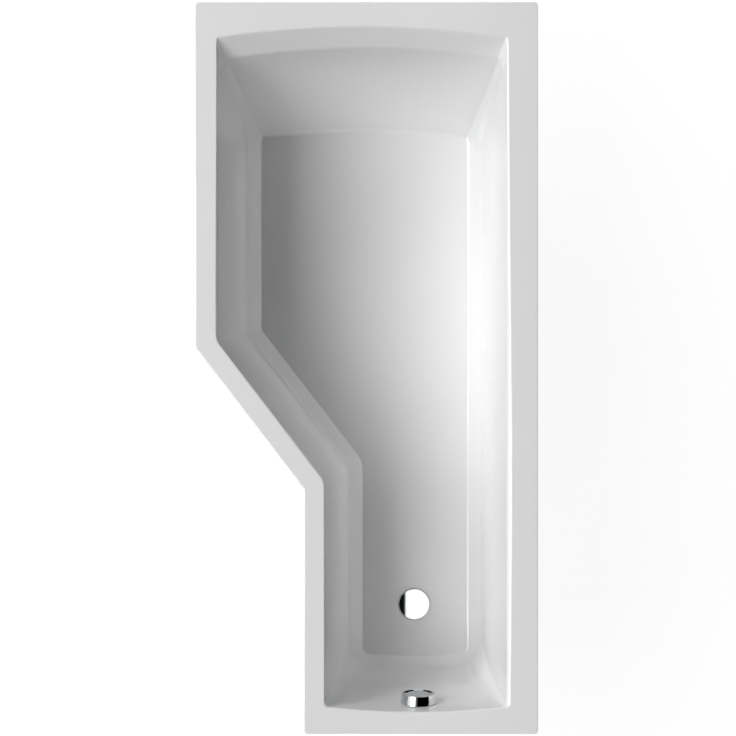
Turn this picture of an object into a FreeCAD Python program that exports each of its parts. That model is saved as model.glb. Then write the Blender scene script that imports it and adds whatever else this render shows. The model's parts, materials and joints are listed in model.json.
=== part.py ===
import FreeCAD, Part
import math
import operator
import os
from types import SimpleNamespace

import Sketcher
from FreeCAD import Placement, Rotation, Vector

# Space-saver bath: an acrylic shell that narrows towards the foot end, stands on two crossbars with
# screw legs and drains through a pop-up waste, which the knob on the overflow opens by a cable.
# Frame: +X towards the long straight side, +Y towards the head end, +Z up. The origin is on the floor
# below the middle of the rim. Lengths in millimetres, angles in degrees.

SIZES = {
    # rim
    "bath_length": 1600,
    "bath_width": 750,
    "narrow_width": 512,
    "wide_length": 755,
    "narrow_length": 535,
    "rim_height": 600,
    "rim_lip": 38,
    "rim_corner": 8,
    "rim_bend": 12,
    "rim_left": 44.5,
    "rim_right": 62,
    "rim_narrow": 42,
    "rim_slant": 44,
    "rim_head": 53.5,
    "rim_foot": 48,
    "mouth_round": 7,
    "edge_round": 3,
    # basin
    "basin_depth": 420,
    "floor_fall": 11,
    "head_arc_radius": 2038,
    "foot_arc_radius": 1640,
    "lean_left": 45,
    "lean_right": 37,
    "lean_narrow": 49,
    "lean_slant": 47,
    "lean_foot": 24,
    "cove_rise": 30,
    "cove_run": 32,
    "bevel_drop": 55,
    "bevel_run": 41,
    "back_run": 149,
    "back_radius": 700,
    "corner_rim": 10,
    "corner_bevel": 47,
    "corner_low": 75,
    "corner_floor": 50,
    "bend_wide_rim": 70,
    "bend_wide_floor": 20,
    "bend_narrow_rim": 50,
    "bend_narrow_floor": 60,
    "sheet_thick": 5,
    "bond_gap": 0.3,
    "backing_thick": 3.3,
    # places of the waste and the overflow
    "waste_from_foot": 230,
    "overflow_drop": 80,
    "recess_depth": 5,
    "recess_radius": 41,
    "recess_flare": 4,
    "drain_hole_radius": 26,
    "overflow_hole_radius": 26,
    "drain_clear_radius": 55,
    "overflow_clear_radius": 50,
    # base board, crossbars and legs
    "board_thick": 15,
    "board_margin": 20,
    "board_hole_radius": 75,
    "head_bar_inset": 400,
    "foot_bar_inset": 400,
    "leg_overhang": 46,
    "bar_end": 22,
    "bar_width": 40,
    "bar_height": 28,
    "bar_wall": 2.5,
    "seat_gap": 0.1,
    "screw_radius": 2,
    "screw_grip": 11,
    "screw_head_radius": 4.5,
    "screw_head_thick": 2.5,
    "screw_clearance": 0.2,
    "spindle_radius": 6,
    "spindle_above": 14,
    "spindle_chamfer": 1.2,
    "spindle_clearance": 0.08,
    "nut_corner_radius": 11,
    "weld_nut_thick": 10,
    "lock_nut_thick": 6,
    "pad_radius": 30,
    "pad_rim": 5,
    "pad_neck_radius": 14,
    "pad_thick": 24,
    "pad_socket_depth": 14,
    "pad_clearance": 0.2,
    # waste
    "seal_thick": 1,
    "gasket_thick": 3,
    "gasket_radius": 45,
    "gasket_edge": 1,
    "flange_radius": 35,
    "flange_thick": 2,
    "sleeve_radius": 22.8,
    "sleeve_bore": 20,
    "sleeve_clearance": 0.2,
    "sleeve_end_gap": 1,
    "hub_radius": 8,
    "hub_thick": 8,
    "spoke_width": 4,
    "stem_radius": 4,
    "stem_collar_radius": 7,
    "stem_collar_thick": 2,
    "running_clearance": 0.08,
    "plug_radius": 37,
    "plug_thick": 3.2,
    "plug_chamfer": 0.8,
    "plug_seal_inner": 29,
    "plug_seal_radius": 33.5,
    "plug_seal_thick": 1.6,
    "plug_seat_gap": 0.1,
    "body_flange_radius": 46,
    "body_flange_thick": 5,
    "neck_depth": 12,
    "cup_radius": 37,
    "cup_wall": 4,
    "cup_depth": 38,
    "waste_pipe_radius": 20,
    "waste_pipe_wall": 3,
    "outlet_stub": 21,
    # lift mechanism
    "lever_swing": 16,
    "lever_reach": 18,
    "lever_depth": 50,
    "lift_shaft_radius": 3,
    "finger_width": 6,
    "finger_thick": 3.5,
    "roller_radius": 2.5,
    "roller_gap": 0.4,
    "boss_radius": 6.5,
    "boss_reach": 5.2,
    "boss_pocket": 2.5,
    "shaft_seal_radius": 5,
    "crank_thick": 3,
    "crank_gap": 0.5,
    "crank_hub_radius": 5.5,
    "crank_tip_radius": 3.5,
    "crank_pin_radius": 1.5,
    "crank_pin_length": 6.5,
    "wire_radius": 0.8,
    "wire_tail": 15,
    "eye_wall": 1.6,
    "eye_thick": 2,
    "eye_clearance": 0.7,
    "sheath_radius": 2.5,
    "sheath_bore": 1.1,
    "sheath_bore_depth": 28,
    "sheath_clearance": 0.1,
    "sheath_bend_radius": 88,
    "anchor_thick": 5,
    "anchor_width": 12,
    "anchor_drop": 45,
    "anchor_edge": 6,
    # overflow
    "overflow_pipe_radius": 13,
    "overflow_pipe_wall": 2,
    "overflow_pipe_bend": 60,
    "overflow_inlet_depth": 40,
    "socket_wall": 2.4,
    "socket_depth": 22,
    "socket_stop": 3,
    "socket_clearance": 0.1,
    "pipe_nut_wall": 3,
    "pipe_nut_skirt": 10,
    "pipe_nut_end": 6.6,
    "pipe_seal_thick": 3,
    "nut_clearance": 0.15,
    "wall_gap": 0.4,
    "overflow_gasket_radius": 40,
    "overflow_flange_radius": 42,
    "overflow_flange_thick": 3.5,
    "overflow_cup_radius": 32,
    "overflow_cup_wall": 3,
    "overflow_cup_depth": 33,
    "overflow_back_gap": 16.5,
    "spindle_boss_radius": 7,
    "spindle_boss_height": 6,
    "knob_spindle_radius": 4,
    "post_radius": 4.5,
    "post_place": 20,
    "plate_radius": 34,
    "plate_thick": 2.5,
    "plate_gap": 0.6,
    "plate_hub_radius": 7,
    "plate_hub_reach": 6,
    "plate_hole_radius": 4.5,
    "plate_hole_place": 20,
    "plate_screw_radius": 2,
    "plate_screw_length": 26,
    "plate_screw_head_radius": 4.2,
    "plate_screw_head_thick": 2,
    "drum_radius": 14,
    "drum_thick": 9,
    "drum_groove": 3,
    "drum_gap": 2.5,
    "knob_radius": 40,
    "knob_gap": 4,
    "knob_depth": 14.5,
    "knob_wall": 2.5,
    "knob_dish": 2.5,
    "knob_rim": 2.5,
    "knob_chamfer": 0.8,
    "knob_face": 3,
    "knob_boss_radius": 8,
    "knob_boss_height": 6.5,
    "gland_length": 18,
    "gland_width": 13,
    "gland_depth": 12,
    "gland_edge": 5.5,
    "clip_length": 8,
    "clip_wall": 2.2,
    "clip_gap": 0.2,
    "clip_upper": 130,
    "clip_lower": 240,
    # trap
    "trap_bend_radius": 36,
    "trap_leg": 10,
    "collar_radius": 23,
    "collar_thick": 4,
    "trap_seal_thick": 2,
    "trap_nut_radius": 28,
    "trap_nut_skirt": 14,
    "trap_nut_lip": 3,
    "trap_outlet_rise": 14,
    "elbow_bend_radius": 28,
    "elbow_leg": 4,
    "spigot_length": 85,
    "eye_boss_radius": 14,
    "eye_boss_wall": 3,
    "eye_boss_reach": 30,
    "cap_wall": 4,
    "cap_skirt": 9,
    "cap_clearance": 0.2,
    "cap_seal_thick": 1.5,
    "cut_overrun": 2,
}
BOARD_SCREW_SHARES = (0.25, 0.42, 0.58, 0.75)
BACKREST_SHARES = (0.2, 0.4, 0.6, 0.8)
PLATE_HOLE_TURNS = (30, 90, 150, 210, 270, 330)
SPOKE_TURNS = (90, 210, 330)
TOLERANCE_SHARE = 1e-6

doc = FreeCAD.newDocument("SpaceSaverBath")
sheet = doc.addObject("Spreadsheet::Sheet", "Sizes")
for row, (alias, number) in enumerate(SIZES.items(), start=1):
    sheet.set(f"A{row}", alias)
    sheet.set(f"B{row}", str(number))
    sheet.setAlias(f"B{row}", alias)
doc.recompute()

SIGNS = {"+": operator.add, "-": operator.sub, "*": operator.mul, "/": operator.truediv}


class Dim:
    """A size: its expression on the sheet, and the number that the expression gives."""

    def __init__(self, text, value):
        self.text = text
        self.value = value

    def __add__(self, other):
        return join(self, "+", other)

    def __radd__(self, other):
        return join(other, "+", self)

    def __sub__(self, other):
        return join(self, "-", other)

    def __rsub__(self, other):
        return join(other, "-", self)

    def __mul__(self, other):
        return join(self, "*", other)

    def __rmul__(self, other):
        return join(other, "*", self)

    def __truediv__(self, other):
        return join(self, "/", other)

    def __neg__(self):
        return join(0, "-", self)


def as_dim(number):
    return number if isinstance(number, Dim) else Dim(repr(number), number)


def join(left, sign, right):
    left, right = as_dim(left), as_dim(right)
    return Dim(f"({left.text} {sign} {right.text})", SIGNS[sign](left.value, right.value))


def sine(angle):
    return Dim(f"sin({angle.text})", math.sin(math.radians(angle.value)))


def cosine(angle):
    return Dim(f"cos({angle.text})", math.cos(math.radians(angle.value)))


def arctangent(ratio):
    return Dim(f"atan({ratio.text})", math.degrees(math.atan(ratio.value)))


mm = SimpleNamespace(**{alias: float(sheet.get(alias)) for alias in SIZES})
size = SimpleNamespace(**{alias: Dim(f"Sizes.{alias}", float(sheet.get(alias))) for alias in SIZES})
pieces = []

# Levels and slopes that several pieces share
floor_level = size.rim_height - size.basin_depth
wall_drop = size.basin_depth - size.cove_rise
foot_tilt = arctangent(size.lean_foot / wall_drop)
head_crease_y = size.bath_length / 2 - size.rim_head - size.bevel_run - size.back_run
floor_left = size.rim_left + size.lean_left + size.cove_run - size.bath_width / 2
floor_right = size.bath_width / 2 - size.rim_right - size.lean_right - size.cove_run
floor_narrow = (size.bath_width / 2 - size.narrow_width + size.rim_narrow + size.lean_narrow
                + size.cove_run)
waste_x = (floor_narrow + floor_right) / 2
waste_y = size.waste_from_foot - size.bath_length / 2
fall_slope = size.floor_fall / (head_crease_y - waste_y)
fall_angle = arctangent(fall_slope)
board_level = floor_level - size.sheet_thick - size.bond_gap - size.backing_thick
overflow_y = size.rim_foot - size.bath_length / 2 + size.lean_foot * size.overflow_drop / wall_drop
overflow_level = size.rim_height - size.overflow_drop


# Document helpers

def bind(thing, **sizes):
    for name, dim in sizes.items():
        thing.setExpression(name, as_dim(dim).text)


def place(thing, x=0, y=0, z=0, turn=None):
    """Put a piece at a bound place, with an optional fixed turn."""
    if turn is not None:
        thing.Placement = Placement(Vector(), turn)
    for axis, dim in zip("xyz", (x, y, z)):
        thing.setExpression(f".Placement.Base.{axis}", as_dim(dim).text)


def lean(thing, axis, angle_text):
    """Bind the angle of a piece's turn about an axis."""
    base = thing.Placement.Base
    thing.Placement = Placement(base, Rotation(axis, 1))
    thing.setExpression(".Placement.Rotation.Angle", angle_text)


def keep(thing):
    """Count a finished document object as a piece of the bath."""
    pieces.append(thing)
    return thing


def new_sketch(body, name, role):
    sketch = body.newObject("Sketcher::SketchObject", name)
    plane = next(feature for feature in body.Origin.OriginFeatures if feature.Role == role)
    sketch.AttachmentSupport = (plane, [""])
    sketch.MapMode = "FlatFace"
    return sketch


def hold_point(sketch, edge, point, x, y):
    """Fix a point of a sketch at bound distances from the sketch's origin."""
    for kind, dim in (("DistanceX", x), ("DistanceY", y)):
        number = sketch.addConstraint(Sketcher.Constraint(kind, -1, 1, edge, point, dim.value))
        if dim.value != 0:
            sketch.setExpression(f"Constraints[{number}]", dim.text)


def polygon(body, name, role, points):
    """A closed outline of straight edges through bound points."""
    sketch = new_sketch(body, name, role)
    points = [(as_dim(x), as_dim(y)) for x, y in points]
    corners = [Vector(x.value, y.value, 0) for x, y in points]
    count = len(points)
    for i in range(count):
        sketch.addGeometry(Part.LineSegment(corners[i], corners[(i + 1) % count]), False)
    for i in range(count):
        sketch.addConstraint(Sketcher.Constraint("Coincident", i, 2, (i + 1) % count, 1))
    for i, (x, y) in enumerate(points):
        hold_point(sketch, i, 1, x, y)
    return sketch


def circles(body, name, role, rounds):
    """Circles, each given as its middle and its radius."""
    sketch = new_sketch(body, name, role)
    for x, y, radius in rounds:
        x, y = as_dim(x), as_dim(y)
        middle = Vector(x.value, y.value, 0)
        edge = sketch.addGeometry(Part.Circle(middle, Vector(0, 0, 1), radius.value), False)
        hold_point(sketch, edge, 3, x, y)
        number = sketch.addConstraint(Sketcher.Constraint("Radius", edge, radius.value))
        sketch.setExpression(f"Constraints[{number}]", radius.text)
    return sketch


def turned(label, profile):
    """A turned piece: an outline of (radius, height) points, swept round the Z axis."""
    body = doc.addObject("PartDesign::Body", label)
    sketch = polygon(body, f"{label}_profile", "XZ_Plane", profile)
    turn = body.newObject("PartDesign::Revolution", f"{label}_turn")
    turn.Profile = sketch
    turn.ReferenceAxis = (sketch, ["V_Axis"])
    turn.Angle = 360
    return body


def ring(label, inner, outer, low, high):
    return turned(label, [(inner, low), (outer, low), (outer, high), (inner, high)])


TO_X = Rotation(Vector(0, 1, 0), 90)
TO_Y = Rotation(Vector(1, 0, 0), -90)
TO_MINUS_Y = Rotation(Vector(1, 0, 0), 90)


def cylinder(name, radius, length, x=0, y=0, z=0, turn=None):
    rod = doc.addObject("Part::Cylinder", name)
    bind(rod, Radius=radius, Height=length)
    place(rod, x, y, z, turn)
    return rod


def box(name, length, width, height, x=0, y=0, z=0, turn=None):
    block = doc.addObject("Part::Box", name)
    bind(block, Length=length, Width=width, Height=height)
    place(block, x, y, z, turn)
    return block


def torus(name, bend, radius, sweep, x, y, z, turn):
    bow = doc.addObject("Part::Torus", name)
    bind(bow, Radius1=bend, Radius2=radius)
    bow.Angle3 = sweep
    place(bow, x, y, z, turn)
    return bow


def fuse(name, *things):
    union = doc.addObject("Part::MultiFuse", name)
    union.Shapes = list(things)
    return union


def cut(name, base, *tools):
    result = doc.addObject("Part::Cut", name)
    result.Base = base
    result.Tool = tools[0] if len(tools) == 1 else fuse(f"{name}_tools", *tools)
    return result


def group(name, things):
    """Identical small pieces as one node of separate solids."""
    compound = doc.addObject("Part::Compound", name)
    compound.Links = list(things)
    return compound


def at_waste(thing):
    """Heights of a waste piece count from the floor of the basin at the drain."""
    place(thing, waste_x, waste_y, floor_level)
    return thing


def at_overflow(thing):
    """An overflow piece's Z points into the basin, square to the foot wall, and its Y down the wall."""
    lean(thing, Vector(-1, 0, 0), f"90 deg - {foot_tilt.text}")
    place(thing, waste_x, overflow_y, overflow_level)
    return thing


# Basin outline

def head_run(drop):
    """How far the head wall has come in from the rim: a bevel, then a hollow backrest."""
    if drop <= mm.bevel_drop:
        return mm.bevel_run * drop / mm.bevel_drop
    height = mm.basin_depth - mm.bevel_drop
    chord = math.hypot(height, mm.back_run)
    reach = math.sqrt(mm.back_radius ** 2 - chord ** 2 / 4) / chord
    middle_drop = mm.bevel_drop + height / 2 - mm.back_run * reach
    middle_run = mm.bevel_run + mm.back_run / 2 + height * reach
    return middle_run - math.sqrt(mm.back_radius ** 2 - (drop - middle_drop) ** 2)


def between(start, end, share):
    return start + (end - start) * min(max(share, 0), 1)


def corner_radius(drop):
    """Corners are crisp at the rim and open up below the bevel."""
    if drop <= mm.bevel_drop:
        return between(mm.corner_rim, mm.corner_bevel, drop / mm.bevel_drop)
    if drop <= wall_drop.value:
        share = (drop - mm.bevel_drop) / (wall_drop.value - mm.bevel_drop)
        return between(mm.corner_bevel, mm.corner_low, share)
    return between(mm.corner_low, mm.corner_floor, (drop - wall_drop.value) / mm.cove_rise)


def slant_frame():
    """Start, direction and inward normal of the rim's slanted outer edge."""
    start = Vector(-mm.bath_width / 2, mm.bath_length / 2 - mm.wide_length, 0)
    end = Vector(mm.bath_width / 2 - mm.narrow_width, mm.narrow_length - mm.bath_length / 2, 0)
    along = (end - start).normalize()
    return start, along, Vector(-along.y, along.x, 0)


def meet_slant(x, inset):
    """Where the slanted edge, moved inwards, crosses a line of constant X."""
    start, along, inward = slant_frame()
    base = start + inward * inset
    return base + along * ((x - base.x) / along.x)


def bend_points(corner, back, ahead, radius):
    """Start, middle and end of the arc that rounds a corner between two straight edges."""
    half = back.getAngle(ahead) / 2
    reach = radius / math.tan(half)
    middle_way = (back + ahead).normalize()
    centre = corner + middle_way * (radius / math.sin(half))
    return corner + back * reach, centre - middle_way * radius, corner + ahead * reach


def arch_points(x, side, arch_middle, arch_radius, upward, radius):
    """Start, middle and end of the arc between a wall at constant X and an arched end wall."""
    centre_x = x - side * radius
    rise = math.sqrt((arch_radius - radius) ** 2 - (centre_x - arch_middle.x) ** 2)
    centre = Vector(centre_x, arch_middle.y + upward * rise, 0)
    on_wall = Vector(x, centre.y, 0)
    on_arch = arch_middle + (centre - arch_middle).normalize() * arch_radius
    middle = centre + ((on_wall - centre) + (on_arch - centre)).normalize() * radius
    return on_wall, middle, on_arch


def basin_wire(drop, grow, level):
    """The basin's outline at a drop below the rim, grown outwards, drawn at a level."""
    share = min(drop / wall_drop.value, 1)
    cove = max(drop - wall_drop.value, 0) / mm.cove_rise * mm.cove_run
    left = -mm.bath_width / 2 + mm.rim_left + mm.lean_left * share + cove - grow
    right = mm.bath_width / 2 - mm.rim_right - mm.lean_right * share - cove + grow
    narrow = mm.bath_width / 2 - mm.narrow_width + mm.rim_narrow + mm.lean_narrow * share + cove - grow
    inset = mm.rim_slant + mm.lean_slant * share + cove - grow
    rim_left = -mm.bath_width / 2 + mm.rim_left
    rim_right = mm.bath_width / 2 - mm.rim_right
    rim_narrow = mm.bath_width / 2 - mm.narrow_width + mm.rim_narrow
    head_middle_y = mm.bath_length / 2 - mm.rim_head - mm.head_arc_radius
    foot_middle_y = mm.rim_foot + mm.foot_arc_radius - mm.bath_length / 2
    head_middle = Vector((rim_left + rim_right) / 2, head_middle_y, 0)
    foot_middle = Vector((rim_narrow + rim_right) / 2, foot_middle_y, 0)
    head_radius = mm.head_arc_radius - head_run(drop) + grow
    foot_radius = mm.foot_arc_radius - mm.lean_foot * share - cove + grow
    corner = corner_radius(drop) + grow
    depth_share = drop / mm.basin_depth
    wide_bend = between(mm.bend_wide_rim, mm.bend_wide_floor, depth_share) + grow
    narrow_bend = between(mm.bend_narrow_rim, mm.bend_narrow_floor, depth_share) - grow
    along = slant_frame()[1]
    up = Vector(0, 1, 0)
    wide = bend_points(meet_slant(left, inset), up, along, wide_bend)
    tight = bend_points(meet_slant(narrow, inset), -along, -up, narrow_bend)
    foot_left = arch_points(narrow, -1, foot_middle, foot_radius, -1, corner)
    foot_right = arch_points(right, 1, foot_middle, foot_radius, -1, corner)[::-1]
    head_right = arch_points(right, 1, head_middle, head_radius, 1, corner)
    head_left = arch_points(left, -1, head_middle, head_radius, 1, corner)[::-1]
    bows = [wide, tight, foot_left, foot_right, head_right, head_left]
    crowns = {2: foot_middle - up * foot_radius, 4: head_middle + up * head_radius}
    edges = []
    for i, bow in enumerate(bows):
        edges.append(Part.Arc(*bow).toShape())
        following = bows[(i + 1) % len(bows)][0]
        if i in crowns:
            edges.append(Part.Arc(bow[2], crowns[i], following).toShape())
        else:
            edges.append(Part.LineSegment(bow[2], following).toShape())
    wire = Part.Wire(edges)
    wire.translate(Vector(0, 0, level))
    if drop >= wall_drop.value:
        wire.rotate(Vector(0, waste_y.value, level), Vector(1, 0, 0), fall_angle.value)
    return wire


def basin_block(grow, top):
    """The basin's outer or inner form as a solid, from a level above or below the rim downwards."""
    backrest = mm.basin_depth - mm.bevel_drop - mm.cove_rise
    drops = [mm.bevel_drop]
    drops += [mm.bevel_drop + backrest * share for share in BACKREST_SHARES]
    drops += [wall_drop.value, mm.basin_depth]
    wires = [basin_wire(max(mm.rim_height - top, 0), grow, top)]
    for drop in drops:
        below = grow if drop == mm.basin_depth else 0
        wires.append(basin_wire(drop, grow, mm.rim_height - drop - below))
    return Part.makeLoft(wires, True, True)


def rim_face(inset):
    """The rim's plan, moved inwards by an inset, drawn at z = 0."""
    left = -mm.bath_width / 2 + inset
    right = mm.bath_width / 2 - inset
    narrow = mm.bath_width / 2 - mm.narrow_width + inset
    head = mm.bath_length / 2 - inset
    foot = -mm.bath_length / 2 + inset
    corners = [
        (Vector(left, head, 0), mm.rim_corner - inset),
        (meet_slant(left, inset), mm.rim_bend - inset),
        (meet_slant(narrow, inset), mm.rim_bend + inset),
        (Vector(narrow, foot, 0), mm.rim_corner - inset),
        (Vector(right, foot, 0), mm.rim_corner - inset),
        (Vector(right, head, 0), mm.rim_corner - inset),
    ]
    count = len(corners)
    bows = []
    for i, (corner, radius) in enumerate(corners):
        back = (corners[i - 1][0] - corner).normalize()
        ahead = (corners[(i + 1) % count][0] - corner).normalize()
        bows.append(bend_points(corner, back, ahead, radius))
    edges = []
    for i, bow in enumerate(bows):
        edges.append(Part.Arc(*bow).toShape())
        edges.append(Part.LineSegment(bow[2], bows[(i + 1) % count][0]).toShape())
    return Part.Face(Part.Wire(edges))


def foot_normal():
    """The direction square to the foot wall, into the basin."""
    tilt = math.radians(foot_tilt.value)
    return Vector(0, math.cos(tilt), math.sin(tilt))


def overflow_cutter(radius):
    """A cylinder through the foot wall, round the overflow."""
    reach = mm.rim_foot
    centre = Vector(waste_x.value, overflow_y.value, overflow_level.value)
    return Part.makeCylinder(radius, 2 * reach, centre - foot_normal() * reach, foot_normal())


def drain_cutter(radius, low, high):
    return Part.makeCylinder(radius, high - low, Vector(waste_x.value, waste_y.value, low))


# Shell and backing

def make_shell():
    """Acrylic shell: rim with a turned-down lip, basin with a recess for the waste, overflow hole."""
    top = mm.rim_height
    lip = rim_face(0).extrude(Vector(0, 0, mm.rim_lip))
    lip.translate(Vector(0, 0, top - mm.rim_lip))
    hollow = rim_face(mm.sheet_thick).extrude(Vector(0, 0, mm.rim_lip - mm.sheet_thick + mm.cut_overrun))
    hollow.translate(Vector(0, 0, top - mm.rim_lip - mm.cut_overrun))
    floor = floor_level.value
    boss_low = floor - mm.recess_depth - mm.sheet_thick
    boss_radius = mm.recess_radius + mm.recess_flare + mm.sheet_thick
    boss = drain_cutter(boss_radius, boss_low, floor - mm.sheet_thick / 2)
    solid = lip.cut(hollow).fuse([basin_block(mm.sheet_thick, top - mm.sheet_thick / 2), boss])
    cavity = basin_block(0, top).fuse(Part.Face(basin_wire(0, 0, top)).extrude(Vector(0, 0, mm.cut_overrun)))
    recess = Part.makeCone(
        mm.recess_radius, mm.recess_radius + 2 * mm.recess_flare, 2 * mm.recess_depth,
        Vector(waste_x.value, waste_y.value, floor - mm.recess_depth))
    drain = drain_cutter(mm.drain_hole_radius, boss_low - mm.cut_overrun, floor)
    solid = solid.cut([cavity, recess, drain, overflow_cutter(mm.overflow_hole_radius)])
    mouth = basin_wire(0, 0, top)
    tolerance = mm.bath_length * TOLERANCE_SHARE
    top_edges = [edge for edge in solid.Edges if abs(edge.BoundBox.ZMin - top) < tolerance]
    mouth_edges = [edge for edge in top_edges if edge.distToShape(mouth)[0] < tolerance]
    outer_edges = [edge for edge in top_edges if edge.distToShape(mouth)[0] >= tolerance]
    solid = solid.makeFillet(mm.mouth_round, mouth_edges)
    solid = solid.makeFillet(mm.edge_round, outer_edges)
    shell = doc.addObject("Part::Feature", "tub_shell")
    shell.Shape = solid
    return keep(shell)


def make_backing():
    """Glass-fibre layer bonded below the basin, open round the waste and the overflow."""
    inner = mm.sheet_thick + mm.bond_gap
    outer = inner + mm.backing_thick
    top = mm.rim_height - mm.sheet_thick - mm.bond_gap
    solid = basin_block(outer, top).cut(basin_block(inner, top))
    low = board_level.value - mm.recess_depth - mm.cut_overrun
    drain = drain_cutter(mm.drain_clear_radius, low, floor_level.value)
    solid = solid.cut([drain, overflow_cutter(mm.overflow_clear_radius)])
    backing = doc.addObject("Part::Feature", "fibre_backing")
    backing.Shape = solid
    return keep(backing)


# Base board, crossbars and legs

def make_board():
    """Board bonded below the floor, with the same fall towards the waste."""
    edge = size.board_margin
    half_length = size.bath_length / 2
    left, right, narrow = floor_left + edge, floor_right - edge, floor_narrow + edge
    head = head_crease_y - edge - size.corner_floor - waste_y
    foot = size.rim_foot + size.lean_foot + size.cove_run + edge - half_length - waste_y
    wide_corner = half_length - size.wide_length - edge - waste_y
    narrow_corner = size.narrow_length - half_length - waste_y
    body = doc.addObject("PartDesign::Body", "base_board")
    plan = polygon(body, "base_board_plan", "XY_Plane", [
        (left, head), (left, wide_corner), (narrow, narrow_corner),
        (narrow, foot), (right, foot), (right, head)])
    plate = body.newObject("PartDesign::Pad", "base_board_plate")
    plate.Profile = plan
    plate.Reversed = True
    bind(plate, Length=size.board_thick)
    holes = [(waste_x, 0, size.board_hole_radius)]
    for bar in BARS:
        for x in screw_places(bar):
            holes.append((x, bar.y - waste_y, size.screw_radius + size.screw_clearance))
    drill(body, "base_board_holes", holes)
    lean(body, Vector(1, 0, 0), fall_angle.text)
    place(body, 0, waste_y, board_level)
    return keep(body)


def drill(body, name, holes):
    """Round holes down through a plate whose top is the body's XY plane."""
    pocket = body.newObject("PartDesign::Pocket", name)
    pocket.Profile = circles(body, f"{name}_plan", "XY_Plane", holes)
    pocket.Type = "ThroughAll"


leg_inset = size.board_margin - size.leg_overhang
BARS = (
    SimpleNamespace(name="head", y=size.bath_length / 2 - size.head_bar_inset,
                    left=floor_left + leg_inset, right=floor_right - leg_inset),
    SimpleNamespace(name="foot", y=size.foot_bar_inset - size.bath_length / 2,
                    left=floor_narrow + leg_inset, right=floor_right - leg_inset),
)


def bar_level(bar):
    """Top of a crossbar, just below the lower edge of the sloping board above it."""
    lower_edge = bar.y - size.bar_width / 2 - waste_y
    return board_level + lower_edge * fall_slope - size.board_thick / cosine(fall_angle) - size.seat_gap


def bar_start(bar):
    return bar.left - size.bar_end


def bar_length(bar):
    return bar.right - bar.left + 2 * size.bar_end


def screw_places(bar):
    return [bar_start(bar) + bar_length(bar) * share for share in BOARD_SCREW_SHARES]


def make_bar(bar):
    """Pressed steel channel, open downwards, with holes for its screws and legs."""
    label = f"{bar.name}_crossbar"
    outer, inner = size.bar_width / 2, size.bar_width / 2 - size.bar_wall
    body = doc.addObject("PartDesign::Body", label)
    section = polygon(body, f"{label}_section", "YZ_Plane", [
        (-outer, 0), (outer, 0), (outer, -size.bar_height), (inner, -size.bar_height),
        (inner, -size.bar_wall), (-inner, -size.bar_wall), (-inner, -size.bar_height),
        (-outer, -size.bar_height)])
    channel = body.newObject("PartDesign::Pad", f"{label}_channel")
    channel.Profile = section
    bind(channel, Length=bar_length(bar))
    holes = [(x - bar_start(bar), 0, size.screw_radius + size.screw_clearance) for x in screw_places(bar)]
    leg_hole = size.spindle_radius + size.spindle_clearance
    holes += [(size.bar_end, 0, leg_hole), (bar_length(bar) - size.bar_end, 0, leg_hole)]
    drill(body, f"{label}_holes", holes)
    place(body, bar_start(bar), bar.y, bar_level(bar))
    return keep(body)


def make_board_screws():
    screws = []
    for bar in BARS:
        seat = bar_level(bar) - size.bar_wall
        for i, x in enumerate(screw_places(bar), start=1):
            name = f"{bar.name}_screw_{i}"
            grip = size.screw_grip + size.bar_wall
            shank = cylinder(f"{name}_shank", size.screw_radius, grip, x, bar.y, seat)
            head_low = seat - size.screw_head_thick
            head = cylinder(f"{name}_head", size.screw_head_radius, size.screw_head_thick, x, bar.y, head_low)
            screws.append(fuse(name, shank, head))
    return keep(group("board_screws", screws))


LEGS = [(bar, side, getattr(bar, side)) for bar in BARS for side in ("left", "right")]


def make_leg(bar, side, x):
    """Screw leg: a threaded spindle in a round foot pad."""
    label = f"{bar.name}_{side}"
    radius, bevel = size.spindle_radius, size.spindle_chamfer
    low = size.pad_thick - size.pad_socket_depth
    high = bar_level(bar) + size.spindle_above
    spindle = turned(f"{label}_leg_spindle", [
        (0, low), (radius - bevel, low), (radius, low + bevel),
        (radius, high - bevel), (radius - bevel, high), (0, high)])
    place(spindle, x, bar.y)
    keep(spindle)
    socket = radius + size.pad_clearance
    pad = turned(f"{label}_foot_pad", [
        (0, 0), (size.pad_radius, 0), (size.pad_radius, size.pad_rim), (size.pad_neck_radius, size.pad_thick),
        (socket, size.pad_thick), (socket, low), (0, low)])
    place(pad, x, bar.y)
    keep(pad)


def make_leg_nuts(label, thick, drop):
    """A hexagon nut on each leg, below the web of the crossbar."""
    nuts = []
    for bar, side, x in LEGS:
        name = f"{label}_{bar.name}_{side}"
        low = bar_level(bar) - size.bar_wall - drop - thick
        block = doc.addObject("Part::Prism", f"{name}_block")
        bind(block, Circumradius=size.nut_corner_radius, Height=thick)
        place(block, x, bar.y, low)
        over = size.cut_overrun
        bore = size.spindle_radius + size.spindle_clearance
        hole = cylinder(f"{name}_bore", bore, thick + 2 * over, x, bar.y, low - over)
        nuts.append(cut(name, block, hole))
    return keep(group(label, nuts))


# Waste, with heights from the basin floor at the drain

flange_low = size.seal_thick - size.recess_depth
flange_high = flange_low + size.flange_thick
plug_low = flange_high + size.plug_seat_gap + size.plug_seal_thick
body_top = -size.recess_depth - size.sheet_thick - size.gasket_thick
cup_inner = size.cup_radius - size.cup_wall
cup_high = body_top - size.neck_depth
cup_low = cup_high - size.cup_depth
stub_high = cup_low - size.cup_wall
stub_low = stub_high - size.outlet_stub
sleeve_low = cup_high + size.sleeve_end_gap
waste_bore = size.waste_pipe_radius - size.waste_pipe_wall
inlet_level = -size.overflow_inlet_depth
socket_bore = size.overflow_pipe_radius + size.socket_clearance
socket_outer = socket_bore + size.socket_wall
pipe_bore = size.overflow_pipe_radius - size.overflow_pipe_wall
inlet_stop = size.cup_radius + size.socket_stop
inlet_end = inlet_stop + size.socket_depth


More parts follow.
